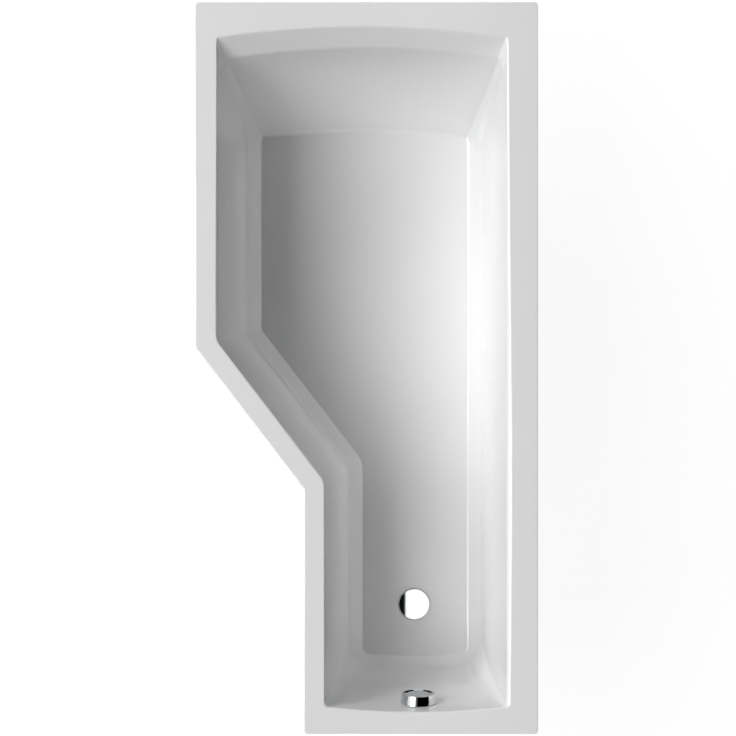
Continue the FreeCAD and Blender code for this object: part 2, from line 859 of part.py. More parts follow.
def make_drain_fittings():
    """What clamps the shell's drain hole from above and below, apart from the waste body."""
    seal_inner = size.drain_hole_radius + size.gasket_edge
    keep(at_waste(ring("drain_seal", seal_inner, size.flange_radius - size.gasket_edge,
                       -size.recess_depth, flange_low)))
    keep(at_waste(ring("waste_gasket", seal_inner, size.gasket_radius,
                       body_top, body_top + size.gasket_thick)))
    collar = turned("drain_collar", [
        (size.sleeve_bore, sleeve_low), (size.sleeve_radius, sleeve_low), (size.sleeve_radius, flange_low),
        (size.flange_radius, flange_low), (size.flange_radius, flange_high), (size.sleeve_bore, flange_high)])
    hub_low = sleeve_low
    hub = cylinder("drain_hub", size.hub_radius, size.hub_thick, z=hub_low)
    spokes = []
    spoke_length = (size.sleeve_bore + size.sleeve_radius) / 2
    for turn in SPOKE_TURNS:
        angle = math.radians(turn)
        side_x, side_y = size.spoke_width / 2 * math.sin(angle), size.spoke_width / 2 * -math.cos(angle)
        spokes.append(box(f"drain_spoke_{turn}", spoke_length, size.spoke_width, size.hub_thick,
                          side_x, side_y, hub_low, Rotation(Vector(0, 0, 1), turn)))
    guide = cylinder("drain_guide", size.stem_radius + size.running_clearance,
                     size.hub_thick + 2 * size.cut_overrun, z=hub_low - size.cut_overrun)
    flange = cut("drain_flange", fuse("drain_flange_solid", collar, hub, *spokes), guide)
    keep(at_waste(flange))


def stem_low():
    """End of the plug's stem, just above the finger's roller at rest."""
    return (size.roller_radius + size.roller_gap - size.lever_depth
            - size.lever_reach * sine(size.lever_swing))


def make_plug():
    """The chrome cover, the seal below it and the stem that the finger lifts."""
    high, bevel = plug_low + size.plug_thick, size.plug_chamfer
    keep(at_waste(turned("plug_cover", [
        (0, plug_low), (size.plug_radius, plug_low), (size.plug_radius, high - bevel),
        (size.plug_radius - bevel, high), (0, high)])))
    keep(at_waste(ring("plug_seal", size.plug_seal_inner, size.plug_seal_radius,
                       plug_low - size.plug_seal_thick, plug_low)))
    collar_low = plug_low - size.stem_collar_thick
    keep(at_waste(turned("plug_stem", [
        (0, stem_low()), (size.stem_radius, stem_low()), (size.stem_radius, collar_low),
        (size.stem_collar_radius, collar_low), (size.stem_collar_radius, plug_low), (0, plug_low)])))


def wall_reach(radius):
    """Half the width of the waste cup along the lift shaft, at a radius of the cup."""
    inside = radius * radius - size.lever_reach * size.lever_reach
    return Dim(f"sqrt({inside.text})", math.sqrt(inside.value))


boss_end = wall_reach(size.cup_radius) + size.boss_reach
boss_start = (wall_reach(size.cup_radius) + wall_reach(cup_inner)) / 2
shaft_far = -boss_end + size.cup_wall
crank_start = boss_end + size.crank_gap
crank_end = crank_start + size.crank_thick
wire_x = crank_end + size.crank_pin_length / 2
wire_level = size.lever_reach * (1 + cosine(size.lever_swing)) / 2 - size.lever_depth
anchor_near = -size.anchor_drop
anchor_far = anchor_near - size.anchor_thick


def make_waste_body():
    """Moulded cup below the drain: overflow inlet, bosses for the lift shaft, anchor for the cable."""
    over = size.cut_overrun
    neck = size.sleeve_radius + size.sleeve_clearance
    cup = turned("waste_cup", [
        (neck, body_top), (size.body_flange_radius, body_top),
        (size.body_flange_radius, body_top - size.body_flange_thick),
        (size.cup_radius, body_top - size.body_flange_thick), (size.cup_radius, stub_high),
        (size.waste_pipe_radius, stub_high), (size.waste_pipe_radius, stub_low), (waste_bore, stub_low),
        (waste_bore, cup_low), (cup_inner, cup_low), (cup_inner, cup_high), (neck, cup_high)])
    inlet_start = -(size.cup_radius + cup_inner) / 2
    inlet = cylinder("waste_inlet", socket_outer, inlet_start + inlet_end,
                     0, inlet_start, inlet_level, TO_MINUS_Y)
    bosses = []
    for name, start in (("near", boss_start), ("far", -boss_end)):
        bosses.append(cylinder(f"waste_boss_{name}", size.boss_radius, boss_end - boss_start,
                               start, -size.lever_reach, -size.lever_depth, TO_X))
    plate_low = wire_level - size.anchor_width
    plate = box("waste_anchor", wire_x + size.anchor_edge, size.anchor_thick, 2 * size.anchor_width,
                0, anchor_far, plate_low)
    solid = fuse("waste_solid", cup, inlet, *bosses, plate)
    socket = cylinder("waste_socket", socket_bore, size.socket_depth + over,
                      0, -inlet_stop, inlet_level, TO_MINUS_Y)
    port = cylinder("waste_port", pipe_bore, inlet_stop + over - cup_inner + size.cup_wall,
                    0, size.cup_wall - cup_inner, inlet_level, TO_MINUS_Y)
    shaft_bore = size.lift_shaft_radius + size.running_clearance
    bearing = cylinder("waste_bearing", shaft_bore, boss_end + over - shaft_far,
                       shaft_far, -size.lever_reach, -size.lever_depth, TO_X)
    pocket = cylinder("waste_seal_pocket", size.shaft_seal_radius + size.running_clearance,
                      size.boss_pocket + over, boss_end - size.boss_pocket,
                      -size.lever_reach, -size.lever_depth, TO_X)
    hole = cylinder("waste_cable_hole", size.sheath_radius + size.sheath_clearance,
                    size.anchor_thick + 2 * over, wire_x, anchor_near + over, wire_level, TO_MINUS_Y)
    keep(at_waste(cut("waste_body", solid, socket, port, bearing, pocket, hole)))
    seal = ring("shaft_seal", shaft_bore, size.shaft_seal_radius, 0, size.boss_pocket)
    place(seal, waste_x + boss_end - size.boss_pocket, waste_y - size.lever_reach,
          floor_level - size.lever_depth, TO_X)
    keep(seal)


# Lift mechanism

def at_lever(thing):
    """The lift shaft's frame: X along the shaft, turned down to the closed position."""
    lean(thing, Vector(-1, 0, 0), f"{size.lever_swing.text} * 1 deg")
    place(thing, waste_x, waste_y - size.lever_reach, floor_level - size.lever_depth)
    return thing


def make_lift_shaft():
    """Shaft through the waste cup, with the finger that carries the plug's stem."""
    shaft = cylinder("lift_rod", size.lift_shaft_radius, crank_end - shaft_far - size.seat_gap,
                     shaft_far + size.seat_gap, 0, 0, TO_X)
    finger = box("lift_finger", size.finger_width, size.lever_reach, size.finger_thick,
                 -size.finger_width / 2, 0, -size.finger_thick / 2)
    roller = cylinder("lift_roller", size.roller_radius, size.finger_width,
                      -size.finger_width / 2, size.lever_reach, 0, TO_X)
    keep(at_lever(fuse("lift_shaft", shaft, finger, roller)))


def make_crank():
    """Arm on the shaft's outer end, with the pin that the pull wire draws."""
    over = size.cut_overrun
    hub = cylinder("crank_hub", size.crank_hub_radius, size.crank_thick, crank_start, 0, 0, TO_X)
    arm = box("crank_web", size.crank_thick, 2 * size.crank_tip_radius, size.lever_reach,
              crank_start, -size.crank_tip_radius, 0)
    tip = cylinder("crank_tip", size.crank_tip_radius, size.crank_thick,
                   crank_start, 0, size.lever_reach, TO_X)
    pin = cylinder("crank_pin", size.crank_pin_radius, size.crank_thick + size.crank_pin_length,
                   crank_start, 0, size.lever_reach, TO_X)
    bore = cylinder("crank_bore", size.lift_shaft_radius, size.crank_thick + 2 * over,
                    crank_start - over, 0, 0, TO_X)
    keep(at_lever(cut("crank_arm", fuse("crank_solid", hub, arm, tip, pin), bore)))


def make_pull_wire():
    """The cable's bare end, from inside the sheath to the eye on the crank pin."""
    over = size.cut_overrun
    eye_y = size.lever_reach * sine(size.lever_swing) - size.lever_reach
    eye_inner = size.crank_pin_radius + size.eye_clearance
    eye_outer = eye_inner + size.eye_wall
    tail_y = anchor_near - size.wire_tail
    wire = cylinder("wire_rod", size.wire_radius, eye_y - tail_y, wire_x, tail_y, wire_level, TO_Y)
    eye = cylinder("wire_eye", eye_outer, size.eye_thick,
                   wire_x - size.eye_thick / 2, eye_y, wire_level, TO_X)
    hole = cylinder("wire_eye_hole", eye_inner, size.eye_thick + 2 * over,
                    wire_x - size.eye_thick / 2 - over, eye_y, wire_level, TO_X)
    keep(at_waste(cut("pull_wire", fuse("wire_solid", wire, eye), hole)))


# Overflow, with Z square to the foot wall into the basin and Y down the wall

outer_face = -size.sheet_thick - size.wall_gap
overflow_flange_high = outer_face - size.gasket_thick
overflow_flange_low = overflow_flange_high - size.overflow_flange_thick
overflow_cup_low = overflow_flange_low - size.overflow_cup_depth
overflow_cup_inner = size.overflow_cup_radius - size.overflow_cup_wall
overflow_axis = overflow_cup_low + size.overflow_back_gap
plate_front = size.plate_gap + size.plate_thick
overflow_stop = size.overflow_cup_radius + size.socket_stop
overflow_end = overflow_stop + size.socket_depth
knob_back = size.knob_gap
knob_front = size.knob_gap + size.knob_depth
knob_face_low = knob_front - size.knob_dish - size.knob_face
spindle_back = overflow_cup_low + size.overflow_cup_wall
DOWN_WALL = TO_Y


def make_overflow_body():
    """Moulded cup behind the foot wall: pipe socket below, cable gland at the side, two screw posts."""
    over = size.cut_overrun
    keep(at_overflow(ring("overflow_gasket", size.overflow_hole_radius + size.gasket_edge,
                          size.overflow_gasket_radius, overflow_flange_high, outer_face)))
    cup = turned("overflow_cup", [
        (0, overflow_cup_low), (size.overflow_cup_radius, overflow_cup_low),
        (size.overflow_cup_radius, overflow_flange_low), (size.overflow_flange_radius, overflow_flange_low),
        (size.overflow_flange_radius, overflow_flange_high), (overflow_cup_inner, overflow_flange_high),
        (overflow_cup_inner, spindle_back), (0, spindle_back)])
    stub_start = (overflow_cup_inner + size.overflow_cup_radius) / 2
    stub = cylinder("overflow_stub", socket_outer, overflow_end - stub_start,
                    0, stub_start, overflow_axis, DOWN_WALL)
    gland = box("overflow_gland", wire_x + size.gland_edge - stub_start, size.gland_length, size.gland_width,
                stub_start, -size.gland_length / 2, overflow_axis - size.gland_width / 2)
    boss = cylinder("overflow_spindle_boss", size.spindle_boss_radius,
                    size.spindle_boss_height + size.overflow_cup_wall, z=overflow_cup_low)
    post_height = overflow_flange_high - overflow_cup_low
    posts = [cylinder(f"overflow_post_{name}", size.post_radius, post_height,
                      side * size.post_place, 0, overflow_cup_low)
             for name, side in (("left", -1), ("right", 1))]
    solid = fuse("overflow_solid", cup, stub, gland, boss, *posts)
    socket = cylinder("overflow_socket", socket_bore, size.socket_depth + over,
                      0, overflow_stop, overflow_axis, DOWN_WALL)
    port_start = overflow_cup_inner - size.overflow_cup_wall
    port = cylinder("overflow_port", pipe_bore, overflow_stop + over - port_start,
                    0, port_start, overflow_axis, DOWN_WALL)
    bearing = cylinder("overflow_bearing", size.knob_spindle_radius + size.running_clearance,
                       size.spindle_boss_height + over, z=spindle_back)
    cable = cylinder("overflow_cable_hole", size.sheath_radius + size.sheath_clearance,
                     size.gland_depth + over, wire_x, size.gland_length / 2 - size.gland_depth,
                     overflow_axis, DOWN_WALL)
    threads = [cylinder(f"overflow_thread_{name}", size.plate_screw_radius + size.running_clearance,
                        size.plate_screw_length, side * size.post_place, 0,
                        plate_front - size.plate_screw_length - over)
               for name, side in (("left", -1), ("right", 1))]
    keep(at_overflow(cut("overflow_body", solid, socket, port, bearing, cable, *threads)))


def make_face_plate():
    """Slotted plate on the basin side that clamps the overflow and carries the knob's spindle."""
    over = size.cut_overrun
    disc = turned("plate_disc", [
        (0, -size.plate_hub_reach), (size.plate_hub_radius, -size.plate_hub_reach),
        (size.plate_hub_radius, size.plate_gap), (size.plate_radius, size.plate_gap),
        (size.plate_radius, plate_front), (0, plate_front)])
    through = size.plate_hub_reach + plate_front + 2 * over
    bore = cylinder("plate_bore", size.knob_spindle_radius + size.running_clearance, through,
                    z=-size.plate_hub_reach - over)
    holes = []
    for turn in PLATE_HOLE_TURNS:
        x = size.plate_hole_place * math.cos(math.radians(turn))
        y = size.plate_hole_place * math.sin(math.radians(turn))
        holes.append(cylinder(f"plate_hole_{turn}", size.plate_hole_radius, through,
                              x, y, -size.plate_hub_reach - over))
    screw_hole = size.plate_screw_radius + size.screw_clearance
    for name, side in (("left", -1), ("right", 1)):
        holes.append(cylinder(f"plate_screw_hole_{name}", screw_hole, through,
                              side * size.post_place, 0, -size.plate_hub_reach - over))
    keep(at_overflow(cut("overflow_face_plate", disc, bore, *holes)))
    screws = []
    for name, side in (("left", -1), ("right", 1)):
        x = side * size.post_place
        shank = cylinder(f"plate_shank_{name}", size.plate_screw_radius, size.plate_screw_length, x, 0,
                         plate_front - size.plate_screw_length)
        head = cylinder(f"plate_head_{name}", size.plate_screw_head_radius, size.plate_screw_head_thick,
                        x, 0, plate_front)
        screws.append(fuse(f"plate_screw_{name}", shank, head))
    keep(at_overflow(group("overflow_screws", screws)))


def make_knob():
    """Dished chrome knob on its spindle, and the drum that winds the cable behind the wall."""
    outer, inner = size.knob_radius, size.knob_radius - size.knob_wall
    bevel, bore = size.knob_chamfer, size.knob_spindle_radius
    boss_back = knob_face_low - size.knob_boss_height
    dish = knob_front - size.knob_dish
    rim_inner = outer - bevel - size.knob_rim
    keep(at_overflow(turned("overflow_knob", [
        (inner, knob_back), (outer, knob_back), (outer, knob_front - bevel), (outer - bevel, knob_front),
        (rim_inner, knob_front), (rim_inner - size.knob_dish, dish), (0, dish),
        (0, knob_face_low), (bore, knob_face_low), (bore, boss_back), (size.knob_boss_radius, boss_back),
        (size.knob_boss_radius, knob_face_low), (inner, knob_face_low)])))
    back = spindle_back + size.seat_gap
    keep(at_overflow(turned("knob_spindle", [
        (0, back), (bore, back), (bore, knob_face_low), (0, knob_face_low)])))
    drum_low = spindle_back + size.spindle_boss_height + size.drum_gap
    drum_high = drum_low + size.drum_thick
    groove_low, groove_high = drum_low + size.drum_groove, drum_high - size.drum_groove
    keep(at_overflow(turned("cable_drum", [
        (bore, drum_low), (size.drum_radius, drum_low), (size.drum_radius, groove_low),
        (size.drum_radius - size.drum_groove, groove_low), (size.drum_radius - size.drum_groove, groove_high),
        (size.drum_radius, groove_high), (size.drum_radius, drum_high), (bore, drum_high)])))


def overflow_point(x, down, out):
    """A point of the overflow's frame in the bath's frame."""
    tilt = math.radians(foot_tilt.value)
    down_way = Vector(0, math.sin(tilt), -math.cos(tilt))
    base = Vector(waste_x.value + x, overflow_y.value, overflow_level.value)
    return base + down_way * down + foot_normal() * out


def down_wall(start, level):
    """Where a line down the foot wall from a point reaches a level."""
    tilt = math.radians(foot_tilt.value)
    return start + Vector(0, math.tan(tilt), -1) * (start.z - level)


def bent_path(start, corner, end, bend):
    """Straight towards a corner, round one bend, then straight to the end."""
    bow = bend_points(corner, (start - corner).normalize(), (end - corner).normalize(), bend)
    return Part.Wire([
        Part.LineSegment(start, bow[0]).toShape(), Part.Arc(*bow).toShape(),
        Part.LineSegment(bow[2], end).toShape()])


def sweep(path, radius):
    """A round bar along a path."""
    first = path.Edges[0]
    way = first.tangentAt(first.FirstParameter)
    circle = Part.Wire(Part.Circle(path.Vertexes[0].Point, way, radius).toShape())
    return path.makePipeShell([circle], True, False)


def make_overflow_pipe():
    """Bent pipe from the overflow's socket to the waste body's inlet."""
    start = overflow_point(0, overflow_stop.value, overflow_axis.value)
    level = floor_level.value + inlet_level.value
    end = Vector(start.x, waste_y.value - inlet_stop.value, level)
    path = bent_path(start, down_wall(start, level), end, mm.overflow_pipe_bend)
    pipe = doc.addObject("Part::Feature", "overflow_pipe")
    pipe.Shape = sweep(path, mm.overflow_pipe_radius).cut(sweep(path, pipe_bore.value))
    keep(pipe)


def make_sheath():
    """Cable sheath from the overflow's gland to the anchor, with the bore that the pull wire slides in."""
    start = overflow_point(wire_x.value, mm.gland_length / 2 - mm.gland_depth, overflow_axis.value)
    level = floor_level.value + wire_level.value
    end_y = waste_y.value + anchor_near.value
    end = Vector(start.x, end_y, level)
    path = bent_path(start, down_wall(start, level), end, mm.sheath_bend_radius)
    bore = Part.makeCylinder(
        mm.sheath_bore, mm.sheath_bore_depth + mm.cut_overrun,
        Vector(start.x, end_y - mm.sheath_bore_depth, level), Vector(0, 1, 0))
    sheath = doc.addObject("Part::Feature", "cable_sheath")
    sheath.Shape = sweep(path, mm.sheath_radius).cut(bore)
    keep(sheath)


def make_pipe_nut(label, seal_label):
    """Nut that squeezes a seal onto the overflow pipe; its Z runs away from the socket."""
    outer = socket_outer + size.nut_clearance + size.pipe_nut_wall
    skirt_inner = socket_outer + size.nut_clearance
    end_inner = size.overflow_pipe_radius + size.nut_clearance
    seal_high = size.pipe_nut_skirt + size.pipe_seal_thick
    high = seal_high + size.pipe_nut_end
    nut = turned(label, [
        (skirt_inner, 0), (outer, 0), (outer, high), (end_inner, high), (end_inner, seal_high),
        (skirt_inner, seal_high)])
    seal = ring(seal_label, end_inner, socket_outer, size.pipe_nut_skirt, seal_high)
    return nut, seal


def make_pipe_nuts():
    for piece in make_pipe_nut("lower_pipe_nut", "lower_pipe_seal"):
        place(piece, waste_x, waste_y - inlet_end + size.pipe_nut_skirt,
              floor_level + inlet_level, TO_MINUS_Y)
        keep(piece)
    down = overflow_end - size.pipe_nut_skirt
    for piece in make_pipe_nut("upper_pipe_nut", "upper_pipe_seal"):
        lean(piece, Vector(-1, 0, 0), f"180 deg - {foot_tilt.text}")
        place(piece, waste_x,
              overflow_y + down * sine(foot_tilt) + overflow_axis * cosine(foot_tilt),
              overflow_level - down * cosine(foot_tilt) + overflow_axis * sine(foot_tilt))
        keep(piece)


def make_clips():
    """Two clips that hold the cable sheath beside the overflow pipe."""
    clips = []
    over = size.cut_overrun
    for name, down in (("upper", size.clip_upper), ("lower", size.clip_lower)):
        pipe_hole = size.overflow_pipe_radius + size.clip_gap
        sheath_hole = size.sheath_radius + size.clip_gap
        solids = [box(f"clip_{name}_web", wire_x, size.clip_length, size.clip_wall,
                      0, down, overflow_axis - size.clip_wall / 2)]
        holes = []
        for held, x, hole in (("pipe", 0, pipe_hole), ("cable", wire_x, sheath_hole)):
            solids.append(cylinder(f"clip_{name}_{held}", hole + size.clip_wall, size.clip_length,
                                   x, down, overflow_axis, DOWN_WALL))
            holes.append(cylinder(f"clip_{name}_{held}_hole", hole, size.clip_length + 2 * over,
                                  x, down - over, overflow_axis, DOWN_WALL))
        clips.append(cut(f"clip_{name}", fuse(f"clip_{name}_solid", *solids), *holes))
    keep(at_overflow(group("cable_clips", clips)))


# Trap, with heights from the basin floor at the drain

collar_high = stub_low - size.trap_seal_thick
collar_low = collar_high - size.collar_thick
bend_level = collar_low - size.trap_leg
bend_low = bend_level - size.trap_bend_radius
outlet_x = 2 * size.trap_bend_radius
rise_high = bend_level + size.trap_outlet_rise
elbow_collar_low = rise_high + size.trap_seal_thick
elbow_collar_high = elbow_collar_low + size.collar_thick
elbow_level = elbow_collar_high + size.elbow_leg
spigot_level = elbow_level + size.elbow_bend_radius
eye_end = -size.eye_boss_reach
LOWER_HALF = Rotation(Vector(1, 0, 0), -90)


def trap_nut(label, pipe_end, way):
    """Slip nut that draws a collar up to a pipe end; way is -1 with the collar below the end, 1 above."""
    clear = size.nut_clearance
    pipe, wide = size.waste_pipe_radius + clear, size.collar_radius + clear
    collar_far = pipe_end + way * (size.trap_seal_thick + size.collar_thick)
    lip = collar_far + way * size.trap_nut_lip
    back = pipe_end - way * size.trap_nut_skirt
    return turned(label, [
        (pipe, back), (size.trap_nut_radius, back), (size.trap_nut_radius, lip), (pipe, lip),
        (pipe, collar_far), (wide, collar_far), (wide, pipe_end), (pipe, pipe_end)])


def make_trap():
    """Bend that holds the water seal, with a cleaning eye."""
    over = size.cut_overrun
    pipe, bore, bend = size.waste_pipe_radius, waste_bore, size.trap_bend_radius
    keep(at_waste(trap_nut("trap_inlet_nut", stub_low, -1)))
    keep(at_waste(ring("trap_inlet_seal", bore, size.collar_radius, collar_high, stub_low)))
    outer = [
        cylinder("trap_collar", size.collar_radius, size.collar_thick, z=collar_low),
        cylinder("trap_leg_in", pipe, size.trap_leg + size.collar_thick, z=bend_level),
        torus("trap_bow", bend, pipe, 180, bend, 0, bend_level, LOWER_HALF),
        cylinder("trap_leg_out", pipe, size.trap_outlet_rise, outlet_x, 0, bend_level),
        cylinder("trap_eye_boss", size.eye_boss_radius, size.eye_boss_reach, bend, 0, bend_low, TO_MINUS_Y)]
    inner = [
        cylinder("trap_bore_in", bore, size.trap_leg + size.collar_thick + over, z=bend_level),
        torus("trap_bow_bore", bend, bore, 180, bend, 0, bend_level, LOWER_HALF),
        cylinder("trap_bore_out", bore, size.trap_outlet_rise + over, outlet_x, 0, bend_level),
        cylinder("trap_eye_bore", size.eye_boss_radius - size.eye_boss_wall, size.eye_boss_reach + over,
                 bend, 0, bend_low, TO_MINUS_Y)]
    keep(at_waste(cut("trap_bend", fuse("trap_solid", *outer), *inner)))
    eye_inner = size.eye_boss_radius + size.cap_clearance
    cap_outer, cap_high = eye_inner + size.cap_wall, size.cap_seal_thick + size.cap_wall
    cap = turned("trap_cleaning_cap", [
        (eye_inner, -size.cap_skirt), (cap_outer, -size.cap_skirt), (cap_outer, cap_high), (0, cap_high),
        (0, size.cap_seal_thick), (eye_inner, size.cap_seal_thick)])
    seal = ring("trap_cap_seal", size.eye_boss_radius - size.eye_boss_wall, size.eye_boss_radius,
                0, size.cap_seal_thick)
    for piece in (cap, seal):
        place(piece, waste_x + bend, waste_y + eye_end, floor_level + bend_low, TO_MINUS_Y)
        keep(piece)
    outlet_nut = trap_nut("trap_outlet_nut", rise_high, 1)
    outlet_seal = ring("trap_outlet_seal", bore, size.collar_radius, rise_high, elbow_collar_low)
    for piece in (outlet_nut, outlet_seal):
        place(piece, waste_x + outlet_x, waste_y, floor_level)
        keep(piece)


def make_elbow():
    """Swivel elbow from the trap to the drain pipe, with the collar that its nut holds."""
    base = Vector(waste_x.value + outlet_x.value, waste_y.value, floor_level.value)
    up, side = Vector(0, 0, 1), Vector(1, 0, 0)
    start = base + up * elbow_collar_low.value
    corner = base + up * spigot_level.value
    end = corner + side * (mm.elbow_bend_radius + mm.spigot_length)
    path = bent_path(start, corner, end, mm.elbow_bend_radius)
    collar = Part.makeCylinder(mm.collar_radius, mm.collar_thick, start)
    elbow = doc.addObject("Part::Feature", "outlet_elbow")
    elbow.Shape = sweep(path, mm.waste_pipe_radius).fuse(collar).cut(sweep(path, waste_bore.value))
    keep(elbow)


make_shell()
make_backing()
make_board()
for bar in BARS:
    make_bar(bar)
make_board_screws()
for leg in LEGS:
    make_leg(*leg)
make_leg_nuts("leg_weld_nuts", size.weld_nut_thick, as_dim(0))
make_leg_nuts("leg_lock_nuts", size.lock_nut_thick, size.weld_nut_thick)
make_drain_fittings()
make_plug()
make_waste_body()
make_lift_shaft()
make_crank()
make_pull_wire()
make_overflow_body()
make_face_plate()
make_knob()
make_overflow_pipe()
make_sheath()
make_pipe_nuts()
make_clips()
make_trap()
make_elbow()
doc.recompute()

for thing in doc.Objects:
    if "Invalid" in thing.State or "Error" in thing.State:
        raise RuntimeError(f"{thing.Label} failed to build: {thing.State}")
for piece in pieces:
    if piece.Shape.isNull() or not piece.Shape.isValid():
        raise RuntimeError(f"{piece.Label} has no valid shape")

os.makedirs("parts", exist_ok=True)
for piece in pieces:
    piece.Shape.exportStep(f"parts/{piece.Label}.step")
    print(f"{piece.Label}: {len(piece.Shape.Solids)} solids, {piece.Shape.Volume:.0f} mm3")
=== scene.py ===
import json
import math

import bmesh
import bpy
from bpy.props import FloatProperty, FloatVectorProperty, PointerProperty
from bpy.types import Operator, Panel, PropertyGroup
from mathutils import Matrix, Vector, noise

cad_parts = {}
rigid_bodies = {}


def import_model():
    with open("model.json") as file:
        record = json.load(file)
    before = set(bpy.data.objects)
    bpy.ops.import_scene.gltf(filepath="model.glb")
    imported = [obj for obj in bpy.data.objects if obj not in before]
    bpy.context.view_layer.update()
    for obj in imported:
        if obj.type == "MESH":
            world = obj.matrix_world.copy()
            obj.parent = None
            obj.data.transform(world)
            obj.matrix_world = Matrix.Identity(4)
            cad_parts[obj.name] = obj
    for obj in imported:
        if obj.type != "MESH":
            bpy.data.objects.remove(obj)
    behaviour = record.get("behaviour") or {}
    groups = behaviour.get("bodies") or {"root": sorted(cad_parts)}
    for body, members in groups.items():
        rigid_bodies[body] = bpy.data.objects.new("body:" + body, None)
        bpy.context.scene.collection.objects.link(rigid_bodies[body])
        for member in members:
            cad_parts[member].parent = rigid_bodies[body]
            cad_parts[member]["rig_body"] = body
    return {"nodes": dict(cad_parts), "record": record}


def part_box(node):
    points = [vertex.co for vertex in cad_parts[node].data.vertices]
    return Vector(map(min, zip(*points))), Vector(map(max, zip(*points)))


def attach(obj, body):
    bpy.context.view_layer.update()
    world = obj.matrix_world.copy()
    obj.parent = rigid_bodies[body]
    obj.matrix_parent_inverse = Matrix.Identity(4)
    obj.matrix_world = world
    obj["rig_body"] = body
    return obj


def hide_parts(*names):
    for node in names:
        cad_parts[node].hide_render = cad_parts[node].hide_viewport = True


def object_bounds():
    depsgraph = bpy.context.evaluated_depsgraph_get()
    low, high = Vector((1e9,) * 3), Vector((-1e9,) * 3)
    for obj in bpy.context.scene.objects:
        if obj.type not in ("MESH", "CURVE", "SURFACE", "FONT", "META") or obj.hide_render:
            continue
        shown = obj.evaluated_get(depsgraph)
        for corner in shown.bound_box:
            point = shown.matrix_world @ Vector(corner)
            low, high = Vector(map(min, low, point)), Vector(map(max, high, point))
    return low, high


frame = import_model()
cad_low, cad_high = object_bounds()

bl_info = {
    "name": "Space-saver bath",
    "version": (1, 0, 0),
    "blender": (4, 5, 0),
    "location": "View3D > Sidebar > Bath",
    "description": "Dresses the packed bath: acrylic shell, glass-fibre backing, legs, waste and trap",
    "category": "Object",
}

# Counts of the meshes
BOW_STEPS = 8
RUN_STEPS = (18, 16, 18, 44, 28, 24)
EDGE_STEPS = 6
CRISP_STEPS = 2
WALL_STEPS = 16
BACKING_STEPS = 24
CARD_STEPS = 24
TURNED_SIDES = 72
CHROME_SIDES = 128
PAD_SIDES = 64
NUT_SIDES = 96
THREAD_SIDES = 20
PIPE_NUT_RIBS = 20
TRAP_NUT_RIBS = 28
SIDES_PER_RIB = 6

# The foot end and the head end among the six runs of an outline
FOOT_RUN = 2
HEAD_RUN = 4

# How much of a line's side a rounding may take, and the turn below which a corner counts as straight
SIDE_SHARE = 0.48
STRAIGHT_TURN = 0.002

# Where a soft turn to a facet bends and ends, and how far past the facet its crisp edge reaches
SOFT_BEND_SHARE = 0.45
SOFT_END_SHARE = 0.94
CRISP_REACH = 4

# Points nearer than this are one point, and edges shorter than this are none
SAME_PLACE = 1e-6
NO_LENGTH = 1e-7

# Where a thread reaches its crest, leaves it and is back at its root, as shares of a pitch
THREAD_SHARES = (0.38, 0.52, 0.9)
NUT_BEVEL = math.radians(30)

# Waves of the hand-laid backing in a metre, and the share of each in its thickness
COARSE_WAVES = 45
COARSE_SHARE = 0.6
FINE_WAVES = 130
FINE_SHARE = 0.4
TRIM_WAVES = 14

# Grain of the finishes: strands and chips by size and turn, and how much moulded roughness varies
STRAND_SIZE = (0.045, 0.0016, 1.0)
STRAND_TURNS = (0.15, 0.7, 1.2, 1.75, 2.25, 2.8)
CHIP_SIZE = (0.0067, 0.0039, 0.0067)
CHIP_TURN = 0.4
FINE_CHIP_SIZE = (0.0024, 0.0017, 0.0024)
FINE_CHIP_TURN = 1.2
MOULDED_SPREAD = 0.07

# Sockets of the node that mixes two colours
MIX_FACTOR, MIX_FIRST, MIX_SECOND, MIX_RESULT = 0, 6, 7, 2
BLACK = (0.0, 0.0, 0.0, 1.0)
WHITE = (1.0, 1.0, 1.0, 1.0)

ENDS = ("head", "foot")
LEGS = [f"{end}_{side}" for end in ENDS for side in ("left", "right")]
STRAND_MAP = "Strands"


# Sizes and colours that a user would change

def length(name, default, description):
    return FloatProperty(name=name, description=description, default=default, unit="LENGTH", precision=4)


def lengths(name, default, description):
    return FloatVectorProperty(
        name=name, description=description, default=default, size=len(default), unit="LENGTH", precision=4)


def angle_value(name, degrees, description):
    return FloatProperty(name=name, description=description, default=math.radians(degrees), subtype="ANGLE")


def angle_values(name, degrees, description):
    return FloatVectorProperty(
        name=name, description=description, default=[math.radians(part) for part in degrees],
        size=len(degrees), unit="ROTATION")


def lamp_power(name, default, description):
    return FloatProperty(name=name, description=description, default=default, unit="POWER")


def brightness(name, default, description):
    return FloatProperty(name=name, description=description, default=default)


def colour(name, default, description):
    return FloatVectorProperty(
        name=name, description=description, default=default, subtype="COLOR", size=3, min=0.0, max=1.0)


